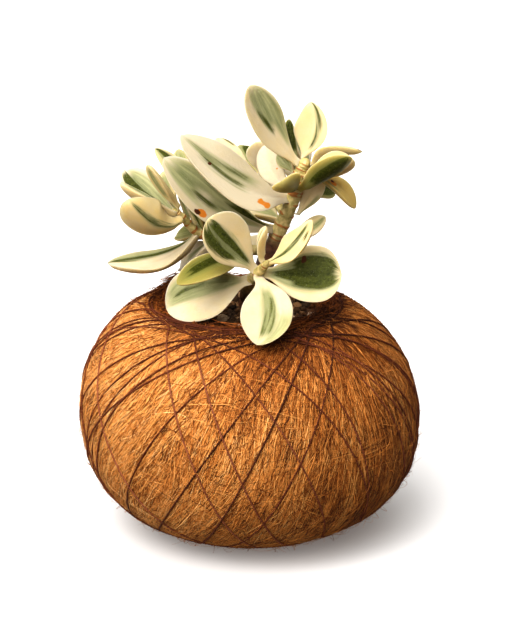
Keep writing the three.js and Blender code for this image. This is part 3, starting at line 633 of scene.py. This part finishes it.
def make_strands(centre, heading, length, lift, half_width, bend, wave):
    """Thin ribbons along the ball, each rolled about its length by its own angle."""
    ahead, beside = axes_on_ball(centre, heading)
    count = len(centre)
    part = np.linspace(-1, 1, FIBRE_STATIONS)[None, :]
    turn = part * (length[:, None] / 2) / MEAN_RADIUS
    phase = random.uniform(0, 6.28, (count, 1))
    aside = bend[:, None] * part**2 + wave[:, None] * np.sin(part * 4 + phase)
    directions = (
        centre[:, None] * np.cos(turn)[..., None]
        + ahead[:, None] * np.sin(turn)[..., None]
        + beside[:, None] * (aside / MEAN_RADIUS)[..., None]
    )
    height = lift[:, None] - 0.35 * part**4 + 0.1 * np.sin(part * 5 + 2 * phase)
    path, across, outward = lay_on_ball(directions, height)
    roll = random.uniform(-0.5, 0.5, (count, 1, 1))
    side = across * np.cos(roll) + outward * np.sin(roll)
    taper = (1 - 0.75 * np.abs(part) ** 5)[..., None] * half_width[:, None, None]
    return ribbon_points(path, side * taper)


def add_strands(name, points, tint, stations, across, material):
    """A piece of coir from strands, flat with two points across and round with more."""
    faces = strand_faces(len(tint), stations, across, across > 2)
    values = {"tint": np.repeat(tint, stations * across)}
    add_piece(name, points, faces, material, "coir_wrap", values)


def make_fibres(material):
    """Bundles of fibres laid round the ball, with some across the rest and some short dark ones as
    painted shade in the gaps.
    """
    count = FIBRE_PIECES * FIBRES_PER_PIECE
    bundles = count // FIBRES_PER_BUNDLE
    azimuth, elevation = scatter(bundles, LOWEST_FIBRE, HIGHEST_FIBRE)
    heading = lay_direction(azimuth, elevation) + np.radians(random.normal(0, 9, bundles))
    is_cross = random.random(bundles) < CROSS_SHARE
    heading = np.where(is_cross, heading - np.radians(random.uniform(45, 95, bundles)), heading)
    heading = np.repeat(heading, FIBRES_PER_BUNDLE)
    layer = np.repeat(random.permutation(bundles) / bundles, FIBRES_PER_BUNDLE)
    tint = np.repeat(random.normal(FIBRE_TINT, 0.06, bundles), FIBRES_PER_BUNDLE)
    middle = np.repeat(direction_of(azimuth, elevation), FIBRES_PER_BUNDLE, axis=0)
    ahead, beside = axes_on_ball(middle, heading)
    forth = random.uniform(-BUNDLE_HALF_LENGTH, BUNDLE_HALF_LENGTH, count) / MEAN_RADIUS
    aside = random.normal(0, BUNDLE_SPREAD, count) / MEAN_RADIUS
    centre = unit(middle + ahead * forth[:, None] + beside * aside[:, None])
    centre_azimuth, centre_elevation = angles_of(centre)
    near_rim = smooth_step(42, 50, np.degrees(centre_elevation))
    # Painted shade: short dark strands stand for shaded gaps between the fibres
    is_shade_strand = random.random(count) < SHADE_STRAND_SHARE
    lift = -0.5 + 0.6 * layer + random.uniform(-0.15, 0.15, count)
    lift = np.where(is_shade_strand, np.maximum(lift, 0.05), lift)
    heading = heading + np.radians(random.normal(0, 3, count)) * (1 + 6 * near_rim)
    length = np.where(is_shade_strand, random.uniform(2, 9, count), random.uniform(10, 38, count))
    half_width = np.clip(random.lognormal(math.log(FIBRE_HALF_WIDTH), 0.3, count), 0.032, 0.12)
    bend = random.normal(0, 1.2, count)
    wave = random.uniform(0, 0.5, count)
    points = make_strands(centre, heading, length, lift, half_width, bend, wave)

    # Paler in the upper layers; painted shade near the rim and at the upper front right, and darker to
    # the right, partly as painted shade
    tint = np.clip(tint + random.normal(0, 0.16, count) + 0.14 * (layer - 0.5), 0.02, 1)
    tint = np.where(is_shade_strand, random.uniform(0.0, 0.22, count), tint)
    # Painted shade: fibres near the rim and at the upper front right are tinted darker
    front_right = bell(centre_azimuth, math.radians(-65), 0.75)
    painted_shade = smooth_step(0.2, 0.75, centre_elevation + random.normal(0, 0.05, count)) * front_right
    tint = tint * (1 - 0.75 * np.maximum(near_rim, 0.8 * painted_shade))
    # Partly painted shade: the tint falls towards the right side of the ball
    tint = tint - 0.19 * np.cos(centre_azimuth - math.radians(-28)) * np.cos(centre_elevation)
    parts = zip(np.split(points, FIBRE_PIECES), np.split(tint, FIBRE_PIECES))
    for index, (part_points, part_tint) in enumerate(parts):
        add_strands(f"coir_fibres_{index + 1}", part_points, part_tint, FIBRE_STATIONS, 2, material)


RIM_STRANDS = 5600
RIM_STATIONS = 6
RIM_HEIGHT = 74.6
RIM_RADIUS = 28
LEDGE_RADIUS = 27
RIM_MIDDLE = -1.4
TUFT_HEIGHT = 5.4
FRONT_DIP = 1.8


def make_rim_fibres(material):
    """Fibres felted together along the rim of the opening, thickest at the left and back, coloured dark
    as painted shade.
    """
    count = RIM_STRANDS
    azimuth = random.uniform(-math.pi, math.pi, count)
    is_thick = random.random(count) < 0.5
    azimuth = np.where(is_thick, random.normal(math.radians(158), 0.5, count), azimuth)
    thickness = bell(azimuth, math.radians(165), 0.75)
    radius = random.normal(RIM_RADIUS, 2.2, count) - random.uniform(0, 7, count) * thickness
    outer_height = RIM_HEIGHT + random.uniform(-1, 0.9, count) - 0.05 * (radius - LEDGE_RADIUS) ** 2
    inner_height = RIM_HEIGHT + random.uniform(-2.5, 1.2, count)
    height = np.where(radius < LEDGE_RADIUS, inner_height, outer_height)
    tuft = bell(azimuth, math.radians(146), 0.3) * bell(radius, 26.5, 3.5)
    height = height + TUFT_HEIGHT * tuft * random.uniform(0, 1, count)
    height = height - FRONT_DIP * np.exp(6 * (np.cos(azimuth + math.radians(147)) - 1))
    centre = np.stack([radius * np.cos(azimuth) + RIM_MIDDLE, radius * np.sin(azimuth), height], -1)
    heading = azimuth + math.pi / 2 + random.normal(0, 0.45, count)
    ahead = np.stack([np.cos(heading), np.sin(heading), random.normal(0, 0.06, count)], -1)
    inward = np.stack([-np.cos(azimuth), -np.sin(azimuth), np.zeros(count)], -1)
    part = np.linspace(-1, 1, RIM_STATIONS)[None, :, None]
    travel = part * random.uniform(4, 17, count)[:, None, None] / 2
    path = centre[:, None] + ahead[:, None] * travel + inward[:, None] * travel**2 / (2 * RIM_RADIUS)
    path[..., 2] += (random.normal(0, 0.35, (count, 1)) - 0.5) * part[..., 0] ** 2
    up = np.array([0, 0, 1.0])
    along = unit(np.gradient(path, axis=1))
    roll = random.uniform(-1, 1, (count, 1, 1))
    side = unit(np.cross(along, up)) * np.cos(roll) + up * np.sin(roll)
    width = random.uniform(0.06, 0.16, (count, 1, 1)) * (1 - 0.7 * np.abs(part) ** 4)
    points = ribbon_points(path, side * width)
    # Painted shade: the rim fibres are tinted dark
    tint = np.clip(random.normal(0.1, 0.07, count) + 0.15 * tuft, 0.01, 0.5)
    add_strands("coir_rim", points, tint, RIM_STATIONS, 2, material)


HAIR_COUNT = 2900
HAIR_STATIONS = 6
LOWEST_HAIR = -80
HIGHEST_HAIR = 60
HAIR_LENGTH = 4
HAIR_RISE = 0.8
HAIR_HALF_WIDTH = 0.06


def make_hairs(material):
    """Loose hairs that stand out from the ball, with both ends down or with one end free."""
    azimuth, elevation = scatter(HAIR_COUNT, LOWEST_HAIR, HIGHEST_HAIR)
    centre = direction_of(azimuth, elevation)
    ahead, beside = axes_on_ball(centre, random.uniform(0, 2 * math.pi, HAIR_COUNT))
    part = np.linspace(0, 1, HAIR_STATIONS)[None, :]
    length = random.lognormal(math.log(HAIR_LENGTH), 0.45, HAIR_COUNT)[:, None]
    curl = random.normal(0, 0.9, HAIR_COUNT)[:, None]
    rise = random.lognormal(math.log(HAIR_RISE), 0.6, HAIR_COUNT)[:, None]
    is_arch = random.random((HAIR_COUNT, 1)) < 0.5
    profile = np.where(is_arch, np.sin(np.pi * part), part**1.4)
    directions = (
        centre[:, None]
        + ahead[:, None] * (part * length / MEAN_RADIUS)[..., None]
        + beside[:, None] * (curl * part**2 / MEAN_RADIUS)[..., None]
    )
    path, across, outward = lay_on_ball(directions, 0.2 + rise * profile)
    width = (HAIR_HALF_WIDTH * (1 - 0.6 * part))[..., None]
    corners = [path - across * width, path + outward * width, path + across * width]
    points = np.stack(corners, 2).reshape(-1, 3)
    tint = random.uniform(0.1, 0.5, HAIR_COUNT)
    add_strands("coir_hairs", points, tint, HAIR_STATIONS, 3, material)


MAT_SIDES = 220
MAT_RINGS = 96
MAT_LIP_RINGS = 12
MAT_DEPTH = -0.45


def make_mat():
    """The dense mat below the loose fibres, coloured dark as painted shade in the gaps between them."""
    outside = np.linspace(-math.pi / 2 + 0.004, LIP_START, MAT_RINGS)
    lip = LIP_START + np.linspace(0.02, LIP_ALONG[-1] / LIP_ARC, MAT_LIP_RINGS)
    around = np.linspace(-math.pi, math.pi, MAT_SIDES, endpoint=False)
    azimuth, elevation = np.meshgrid(around, np.concatenate([outside, lip]))
    ripple = 0.12 * np.sin(9 * azimuth + 7 * elevation) + 0.1 * np.sin(17 * azimuth - 12 * elevation)
    rise = smooth_step(-1.35, -1.0, elevation)
    points = skin(azimuth, elevation, (MAT_DEPTH + ripple) * rise)
    faces = strand_faces(1, len(points), MAT_SIDES, True)
    material = make_grainy_material("coir_mat")
    add_piece("coir_mat", points.reshape(-1, 3), faces, material, "coir_wrap")


# Twine
TWINE_STATIONS = 720
TWINE_SIDES = 6
TWINE_PITCH = 2.1
PLY_RADIUS = 0.2
PLY_OFFSET = 0.17
TWINE_SINK = 0.14
TWINE_PRESS = 0.27
TURN_SHIFT = 1.1
HALVINGS = 30


def height_above(points):
    length = np.linalg.norm(points, axis=1)
    azimuth, elevation = angles_of(points / length[:, None])
    return length - ball_reach(azimuth, elevation)


def twine_path(turn, index):
    """Points of one turn from the ball's middle: the ball cut by a plane, clear of rim and foot."""
    angle = math.radians(turn[0])
    uphill = np.array([math.cos(angle), math.sin(angle), 0])
    sideways = np.array([-math.sin(angle), math.cos(angle), 0])
    high = turn[1] * uphill + np.array([0, 0, PASS_HEIGHT])
    low = -turn[2] * uphill - np.array([0, 0, PASS_HEIGHT])
    origin = (high + low) / 2
    around = np.linspace(0, 2 * math.pi, TWINE_STATIONS, endpoint=False)[:, None]
    directions = sideways * np.cos(around) + unit(high - low) * np.sin(around)
    near = np.zeros((TWINE_STATIONS, 1))
    far = np.full((TWINE_STATIONS, 1), 2.0 * BALL_RADIUS)
    for _ in range(HALVINGS):
        middle = (near + far) / 2
        is_inside = height_above(origin + directions * middle)[:, None] < 0
        near = np.where(is_inside, middle, near)
        far = np.where(is_inside, far, middle)
    points = origin + directions * near
    is_high = points[:, 2] > 0
    sign = np.where(is_high, 1, -1)
    out = points @ uphill * sign
    across_squared = points[:, 0] ** 2 + points[:, 1] ** 2 - out**2
    clearance = np.where(is_high, RIM_CLEARANCE, FOOT_CLEARANCE) + TURN_SHIFT * (index % 4)
    push = np.maximum(clearance * (1 - across_squared / CLEARANCE_SPREAD**2) - out, 0)
    points = points + uphill * (push * sign)[:, None]
    lift = TWINE_LIFT + TWINE_LAYER * (index % 3)
    length = np.linalg.norm(points, axis=1)
    return points * ((length - height_above(points) + lift) / length)[:, None]


def make_twine():
    """Turns of two twisted plies, pressed into the fibre and into each other where they cross."""
    points = []
    tints = []
    side = np.arange(TWINE_SIDES) / TWINE_SIDES * 2 * math.pi
    reach = PLY_OFFSET * np.abs(np.cos(side))
    reach = reach + np.sqrt(PLY_RADIUS**2 - (PLY_OFFSET * np.sin(side)) ** 2)
    for index, turn in enumerate(TWINE_TURNS):
        path = twine_path(turn, index)
        path = lean(path - (TWINE_SINK + TWINE_PRESS * (index % 3)) * unit(path))
        following = np.roll(path, -1, axis=0)
        along = unit(following - np.roll(path, 1, axis=0))
        outward = path - np.array([0, 0, BALL_MIDDLE_HEIGHT])
        outward = unit(outward - along * np.sum(outward * along, axis=1, keepdims=True))
        across = np.cross(along, outward)
        travelled = np.cumsum(np.linalg.norm(following - path, axis=1))
        twists = round(travelled[-1] / TWINE_PITCH)
        around = (travelled / travelled[-1] * twists * 2 * math.pi)[:, None] + side[None, :]
        points.append(
            ring_points(path, outward, reach * np.cos(around), across, reach * np.sin(around))
        )
        slow = 0.1 * np.sin(travelled / 23 + index) + 0.06 * np.sin(travelled / 7 + 2 * index)
        # Painted shade: the twine darkens high up near the rim
        is_high = smooth_step(66, 74, path[:, 2])
        faded = -0.18 * math.cos(math.radians(turn[0]))
        tints.append(np.repeat(0.45 + slow + faded - 0.22 * is_high, TWINE_SIDES))
    points = np.concatenate(points)
    values = {"tint": np.concatenate(tints)}
    faces = strand_faces(len(TWINE_TURNS), TWINE_STATIONS, TWINE_SIDES, True, True)
    add_piece("twine_thread", points, faces, make_twine_material(), "twine", values)


# Soil
ROCK_SIDES = 10
ROCK_RINGS = 7
SOIL_RINGS = 40
SOIL_SIDES = 120
SOIL_RADIUS = 26.4
CRUMB_COUNT = 520
CRUMB_RADIUS = 25.5
CRUMB_MIDDLE = -1.2
CRUMB_SIZE = 1.5


def soil_height(x, y):
    return SOIL_HEIGHT + SOIL_BUMP * np.sin(0.55 * x + 1) * np.cos(0.6 * y + 0.4)


def rocks(centres, sizes, flatness, seeds):
    """Rough rounded lumps, one for each centre."""
    polar = np.linspace(0.05, math.pi - 0.05, ROCK_RINGS)
    around = np.linspace(0, 2 * math.pi, ROCK_SIDES, endpoint=False)
    polar, around = np.meshgrid(polar, around, indexing="ij")
    ball = direction_of(around, math.pi / 2 - polar).reshape(1, -1, 3)
    x, y, z = np.moveaxis(ball, -1, 0)
    seeds = np.asarray(seeds, dtype=float)[:, None]
    rough = 1 + 0.16 * np.sin(3.1 * x + 2.3 * y + seeds * 7) * np.cos(2.7 * z + seeds * 3)
    rough = rough + 0.1 * np.sin(6.3 * y - 4.1 * z + seeds * 5)
    rough = rough + 0.07 * np.sin(9.1 * x + 7.7 * z + seeds * 11)
    body = ball * rough[..., None] * (np.asarray(sizes) / 2)[:, None, None]
    body = body * np.stack([np.full(len(sizes), 1.15), np.ones(len(sizes)), flatness], -1)[:, None]
    x, y, z = np.moveaxis(body, -1, 0)
    cosine = np.cos(seeds * 2.4)
    sine = np.sin(seeds * 2.4)
    turned = np.stack([x * cosine - y * sine, x * sine + y * cosine, z], -1)
    points = turned + np.asarray(centres)[:, None]
    return points.reshape(-1, 3), strand_faces(len(sizes), ROCK_RINGS, ROCK_SIDES, True)


def make_soil():
    radius = np.linspace(0.05, SOIL_RADIUS, SOIL_RINGS)[:, None]
    around = np.linspace(0, 2 * math.pi, SOIL_SIDES, endpoint=False)[None, :]
    x = -BALL_LEAN * (SOIL_HEIGHT - BALL_MIDDLE_HEIGHT) + radius * np.cos(around)
    y = radius * np.sin(around)
    bumps = 0.35 * np.sin(2.1 * x + 1.3 * y) + 0.3 * np.sin(1.2 * x - 2.7 * y + 2)
    bumps = bumps + 0.2 * np.sin(4.3 * x + 3.9 * y)
    points = np.stack([x, y, soil_height(x, y) + bumps], -1).reshape(-1, 3)
    faces = strand_faces(1, SOIL_RINGS, SOIL_SIDES, True)
    add_piece("soil_top", points, faces, make_grainy_material("potting_soil"), "soil_ball")


def make_crumbs():
    distance = CRUMB_RADIUS * np.sqrt(random.uniform(0, 1, CRUMB_COUNT))
    angle = random.uniform(0, 2 * math.pi, CRUMB_COUNT)
    x = CRUMB_MIDDLE + distance * np.cos(angle)
    y = distance * np.sin(angle)
    sizes = np.clip(random.lognormal(math.log(CRUMB_SIZE), 0.4, CRUMB_COUNT), 0.7, 3.6)
    height = soil_height(x, y) + sizes * 0.2 + random.uniform(0, 0.5, CRUMB_COUNT)
    flatness = random.uniform(0.5, 0.95, CRUMB_COUNT)
    seeds = random.uniform(0, 10, CRUMB_COUNT)
    points, faces = rocks(np.stack([x, y, height], -1), sizes, flatness, seeds)
    values = {"tint": np.repeat(random.beta(1.6, 2.6, CRUMB_COUNT), ROCK_RINGS * ROCK_SIDES)}
    add_piece("soil_crumbs", points, faces, make_crumb_material(), "soil_ball", values)


def make_pebbles():
    material = make_grainy_material("pumice")
    for index, (x, y, size, flatness, turn) in enumerate(PEBBLES):
        name = f"pebble_{index + 1}"
        height = soil_height(x, y) + PEBBLE_RISE * size * flatness * 0.5
        points, faces = rocks([(x, y, height)], [size], [flatness], [turn + index])
        add_piece(f"{name}_stone", points, faces, material, name)


# Stems
STEM_SIDES = 20
STEM_STEPS = 14
RING_WIDTH = 0.06
# Old leaf scars on the bare trunk, as places in its points, and the bud that ends each stem
TRUNK_RINGS = (1.5, 2.3, 3.4)
BUD_REACH = np.array([0.5, 1.0, 1.4, 1.6])[:, None]
BUD_RADIUS = np.array([0.9, 0.7, 0.4, 0.05])[:, None]


def smooth_path(points):
    """A smooth curve through the points, with the radius carried along."""
    points = np.asarray(points, dtype=float)
    padded = np.concatenate([2 * points[:1] - points[1:2], points, 2 * points[-1:] - points[-2:-1]])
    part = np.linspace(0, 1, STEM_STEPS, endpoint=False)[:, None]
    spans = []
    for before, first, second, after in zip(padded, padded[1:], padded[2:], padded[3:]):
        square = 2 * before - 5 * first + 4 * second - after
        cube = 3 * first - before - 3 * second + after
        spans.append(0.5 * (2 * first + (second - before) * part + square * part**2 + cube * part**3))
    return np.concatenate([*spans, points[-1:]])


def make_stems():
    """Stems with a thicker ring at each leaf, and brown bark low down."""
    all_points = []
    all_faces = []
    woody = []
    scars = []
    start = 0
    around = np.linspace(0, 2 * math.pi, STEM_SIDES, endpoint=False)[None, :]
    leaves = [{**USUAL_LEAF, **leaf} for leaf in LEAVES.values()]
    for name, stem in STEMS.items():
        path = smooth_path(stem)
        tip = unit(path[-1:, :3] - path[-2:-1, :3])
        bud = np.concatenate([path[-1:, :3] + tip * BUD_REACH, path[-1, 3] * BUD_RADIUS], 1)
        path = np.concatenate([path, bud])
        station = np.arange(len(path)) / STEM_STEPS
        ring = np.zeros(len(path))
        for leaf in leaves:
            if leaf["stem"] == name:
                ring = np.maximum(ring, bell(station, leaf["at"] - 0.1, RING_WIDTH))
        if name == "trunk":
            for place in TRUNK_RINGS:
                ring = np.maximum(ring, 0.8 * bell(station, place, RING_WIDTH))
        along = unit(np.gradient(path[:, :3], axis=0))
        across = unit(np.array([0.0, 1.0, 0.0]) - along * along[:, 1:2])
        third = np.cross(along, across)
        rough = 1 + 0.03 * np.sin(5 * around + station[:, None] * 3)
        rough = rough + 0.04 * np.sin(3 * around - station[:, None] * 5)
        radius = path[:, 3:4] * rough * (1 + 0.12 * ring[:, None])
        all_points.append(
            ring_points(path[:, :3], across, radius * np.cos(around), third, radius * np.sin(around))
        )
        all_faces.append(strand_faces(1, len(path), STEM_SIDES, True) + start)
        start += len(path) * STEM_SIDES
        bark_ends = (91, 97) if name == "trunk" else (76, 84)
        woody.append(np.repeat(1 - smooth_step(*bark_ends, path[:, 2]), STEM_SIDES))
        scars.append(np.repeat(ring, STEM_SIDES))
    points = np.concatenate(all_points)
    faces = np.concatenate(all_faces)
    values = {"woody": np.concatenate(woody), "scar": np.concatenate(scars)}
    add_piece("stem_wood", points, faces, make_stem_material(), "stems", values)


# Leaves
LEAF_STATIONS = 34
LEAF_TOP_POINTS = 19
LEAF_UNDER_POINTS = 11
TOP_SHARE = 0.22
GROOVE_DEPTH = 0.1
GROOVE_WIDTH = 0.12
STRIPE_BLUR = 0.22
STRIPE_END_BLUR = 0.12


def leaf_foot(leaf):
    """The place of a leaf on its stem's axis, and the leaf's foot just off the stem's surface."""
    points = np.asarray(STEMS[leaf["stem"]], dtype=float)
    index = min(int(leaf["at"]), len(points) - 2)
    part = leaf["at"] - index
    place = points[index] * (1 - part) + points[index + 1] * part
    along = unit(points[index + 1, :3] - points[index, :3])
    to_tip = unit(np.array(leaf["tip"]) - place[:3])
    side = to_tip - along * 0.9 * (to_tip @ along)
    if leaf["side"]:
        side = np.array(leaf["side"], dtype=float)
    return place[:3], place[:3] + unit(side) * (place[3] + leaf["off"])


def leaf_half_width(leaf, station):
    rise = np.sin(math.pi / 2 * np.minimum(station / leaf["peak"], 1)) ** 1.25
    past = np.maximum((station - leaf["peak"]) / (1 - leaf["peak"]), 0)
    fall = np.maximum(1 - past ** leaf["blunt"], 0) ** 0.62
    blade = np.where(station < leaf["peak"], rise, fall)
    foot = leaf["neck"] * (1 - station) ** 1.2
    return leaf["width"] / 2 * np.hypot(blade, foot)


def stripe_amount(stripes, across, along):
    """Above 0 inside the stripes and below 0 outside, from -1 to 1.8."""
    amount = np.full(across.shape, -1.0)
    for foot_place, tip_place, half, start, end in stripes:
        centre = foot_place + (tip_place - foot_place) * along
        inside = (half - np.abs(across - centre)) / STRIPE_BLUR
        inside = np.minimum(inside, (along - start) / STRIPE_END_BLUR)
        inside = np.minimum(inside, (end - along) / STRIPE_END_BLUR)
        amount = np.maximum(amount, inside)
    return np.clip(amount, -1, 1.8)


def patch_amount(patches, across, along, half, length):
    """How deep inside a spot or scar each point is."""
    amount = np.zeros(across.shape)
    for patch_across, patch_along, size, depth in patches:
        aside = (across - patch_across) * half
        away = np.hypot(aside, (along - patch_along) * length) / size
        amount = np.maximum(amount, depth * np.exp(-(away**2)))
    return amount


def make_leaf(name, leaf, material, seed):
    """A thick blade along a curve from foot to tip, with the values that draw its markings."""
    stem_place, foot = leaf_foot(leaf)
    tip = np.array(leaf["tip"], dtype=float)
    length = np.linalg.norm(tip - foot)
    chord = (tip - foot) / length
    face = np.array(leaf["face"], dtype=float)
    face = unit(face - chord * (face @ chord))
    sideways = np.cross(chord, face)
    control = foot + (tip - foot) * leaf["bend"]
    control = control + face * leaf["bow"] * length + sideways * leaf["sway"] * length
    spread = np.linspace(0, 1, LEAF_STATIONS)
    station = 0.5 * (spread + np.sin(spread * math.pi / 2)) * 0.9995
    part = station[:, None]
    centre = foot * (1 - part) ** 2 + control * 2 * part * (1 - part) + tip * part**2
    along = unit(2 * (1 - part) * (control - foot) + 2 * part * (tip - control))
    up = unit(face - along * (along @ face)[:, None])
    across = np.cross(along, up)
    half = leaf_half_width(leaf, station)
    fullness = np.minimum(1, half / (0.175 * leaf["width"]))
    thickness = leaf["thick"] * (0.35 + 0.65 * fullness) * np.sqrt(np.maximum(1 - station**5, 0))

    # One more station, inside the stem
    centre = np.concatenate([(stem_place + (foot - stem_place) * 0.35)[None], centre])
    up = np.concatenate([up[:1], up])
    across = np.concatenate([across[:1], across])
    half = np.concatenate([half[:1] * 1.05, half])[:, None]
    thickness = np.concatenate([thickness[:1] * 1.05, thickness])[:, None]
    station = np.concatenate([[0], station])[:, None]

    top = np.sin(np.linspace(math.pi / 2, -math.pi / 2, LEAF_TOP_POINTS))
    under = np.sin(np.linspace(-math.pi / 2, math.pi / 2, LEAF_UNDER_POINTS + 2)[1:-1])
    place = np.concatenate([top, under])[None, :]
    is_top = np.concatenate([np.ones(len(top)), np.zeros(len(under))])[None, :]
    wave = 0.05 * np.sin(station * 9 + seed) * np.abs(place) ** 3 * half
    edge = 2 * leaf["cup"] * half * place**2 + wave
    bulge = np.maximum(1 - place**2, 0) ** 0.7
    groove = -GROOVE_DEPTH * bell(place, 0, GROOVE_WIDTH) * np.sin(math.pi * station) ** 0.5
    above = thickness * (TOP_SHARE * bulge + groove)
    below = -thickness * (1 - TOP_SHARE) * bulge
    height = edge + np.where(is_top > 0, above, below)
    points = ring_points(centre, across, place * half, up, height)

    across_value = np.broadcast_to(place, height.shape)
    along_value = np.broadcast_to(station, height.shape)
    values = {"across": across_value, "along": along_value, "seed": np.full(height.shape, seed * 3.7)}
    for key in ("grey", "dark"):
        values[key] = stripe_amount(leaf[key], across_value, along_value)
    for key in ("warm", "olive_shade"):
        values[key] = np.full(height.shape, leaf[key])
    for key in ("spot", "scar"):
        amount = patch_amount(leaf[key + "s"], across_value, along_value, half, length)
        values[key] = amount * is_top
    faces = strand_faces(1, *height.shape, True)
    add_piece(f"{name}_leaf", points, faces, material, f"leaf_{name}", values)


def make_leaves():
    material = make_leaf_material()
    for index, (name, leaf) in enumerate(LEAVES.items()):
        make_leaf(name, {**USUAL_LEAF, **leaf}, material, index + 1)


# Studio
CAMERA_TILT = 17
CAMERA_DISTANCE = 760
AIM = (1.56, 9.5, 69.06)
PIXELS_PER_MM = 3.077
FRAME_HEIGHT = 620
SENSOR_WIDTH = 36
WORLD_STEEPNESS = 4
WORLD_OVERHEAD = 2.8
WORLD_ROUND = (0.105, 0.09, 0.07)
# Lights: name, azimuth, elevation, how wide and how strong they are, colour
LIGHTS = [
    ("left_light", 212, 60, 50, 1.9, (1, 0.98, 0.97)),
    ("front_light", 239, 38, 50, 3.9, (1, 0.97, 0.95)),
]
FLOOR_HALF = 6
FLOOR_COLOUR = (0.62, 0.62, 0.62)
FLOOR_GLOW = 0.18
GAMMA = 0.8


def make_camera():
    tilt = math.radians(CAMERA_TILT)
    looking = Vector((0, math.cos(tilt), -math.sin(tilt)))
    data = bpy.data.cameras.new("camera")
    data.sensor_width = SENSOR_WIDTH
    data.lens = SENSOR_WIDTH * CAMERA_DISTANCE / (FRAME_HEIGHT / PIXELS_PER_MM)
    data.clip_start = 0.05
    data.clip_end = 30
    camera = add_object("camera", data)
    camera.location = (Vector(AIM) - looking * CAMERA_DISTANCE) * MM
    camera.rotation_euler = looking.to_track_quat("-Z", "Y").to_euler()
    bpy.context.scene.camera = camera


def add_sun(name, azimuth, elevation, angle, power, colour):
    """A soft far light, from where it stands as seen from the ball."""
    data = bpy.data.lights.new(name, "SUN")
    data.angle = math.radians(angle)
    data.energy = power
    data.color = colour
    towards = Vector([float(part) for part in direction_of(np.radians(azimuth), np.radians(elevation))])
    add_object(name, data).rotation_euler = (-towards).to_track_quat("-Z", "Y").to_euler()


def make_world():
    """White light from overhead, and a little warm light all round."""
    world = bpy.data.worlds.new("studio")
    world.use_nodes = True
    tree = world.node_tree
    place = add_node(tree, "TexCoord", {})
    parts = add_node(tree, "SeparateXYZ", {0: place.outputs["Generated"]})
    above = add_node(tree, "Clamp", {"Value": parts.outputs["Z"]})
    inputs = {0: above.outputs["Result"], 1: WORLD_STEEPNESS}
    steep = add_node(tree, "Math", inputs, operation="POWER")
    inputs = {0: steep.outputs[0], 6: WORLD_ROUND, 7: (1, 1, 1)}
    colour = add_node(tree, "Mix", inputs, data_type="RGBA")
    background = tree.nodes["Background"]
    feed(tree, background.inputs["Color"], colour.outputs[2])
    feed(tree, background.inputs["Strength"], WORLD_OVERHEAD)
    bpy.context.scene.world = world


def make_floor():
    """A pale floor that shines a little, so that it shows as nearly white."""
    corners = [(-1, -1), (1, -1), (1, 1), (-1, 1)]
    mesh = bpy.data.meshes.new("floor")
    mesh.from_pydata([(x * FLOOR_HALF, y * FLOOR_HALF, 0) for x, y in corners], [], [(0, 1, 2, 3)])
    look = Look("pale_floor", 0.9, 0.1)
    look.set("Emission Color", (1, 1, 1))
    look.set("Emission Strength", FLOOR_GLOW)
    mesh.materials.append(look.finish(FLOOR_COLOUR))
    floor = add_object("floor", mesh)
    floor.visible_diffuse = False


make_camera()
make_world()
bpy.context.scene.view_settings.view_transform = "Standard"
bpy.context.scene.view_settings.gamma = GAMMA
for light in LIGHTS:
    add_sun(*light)
make_floor()
make_mat()
fibre_material = make_fibre_material()
make_fibres(fibre_material)
make_rim_fibres(fibre_material)
make_hairs(fibre_material)
make_twine()
make_soil()
make_crumbs()
make_pebbles()
make_stems()
make_leaves()
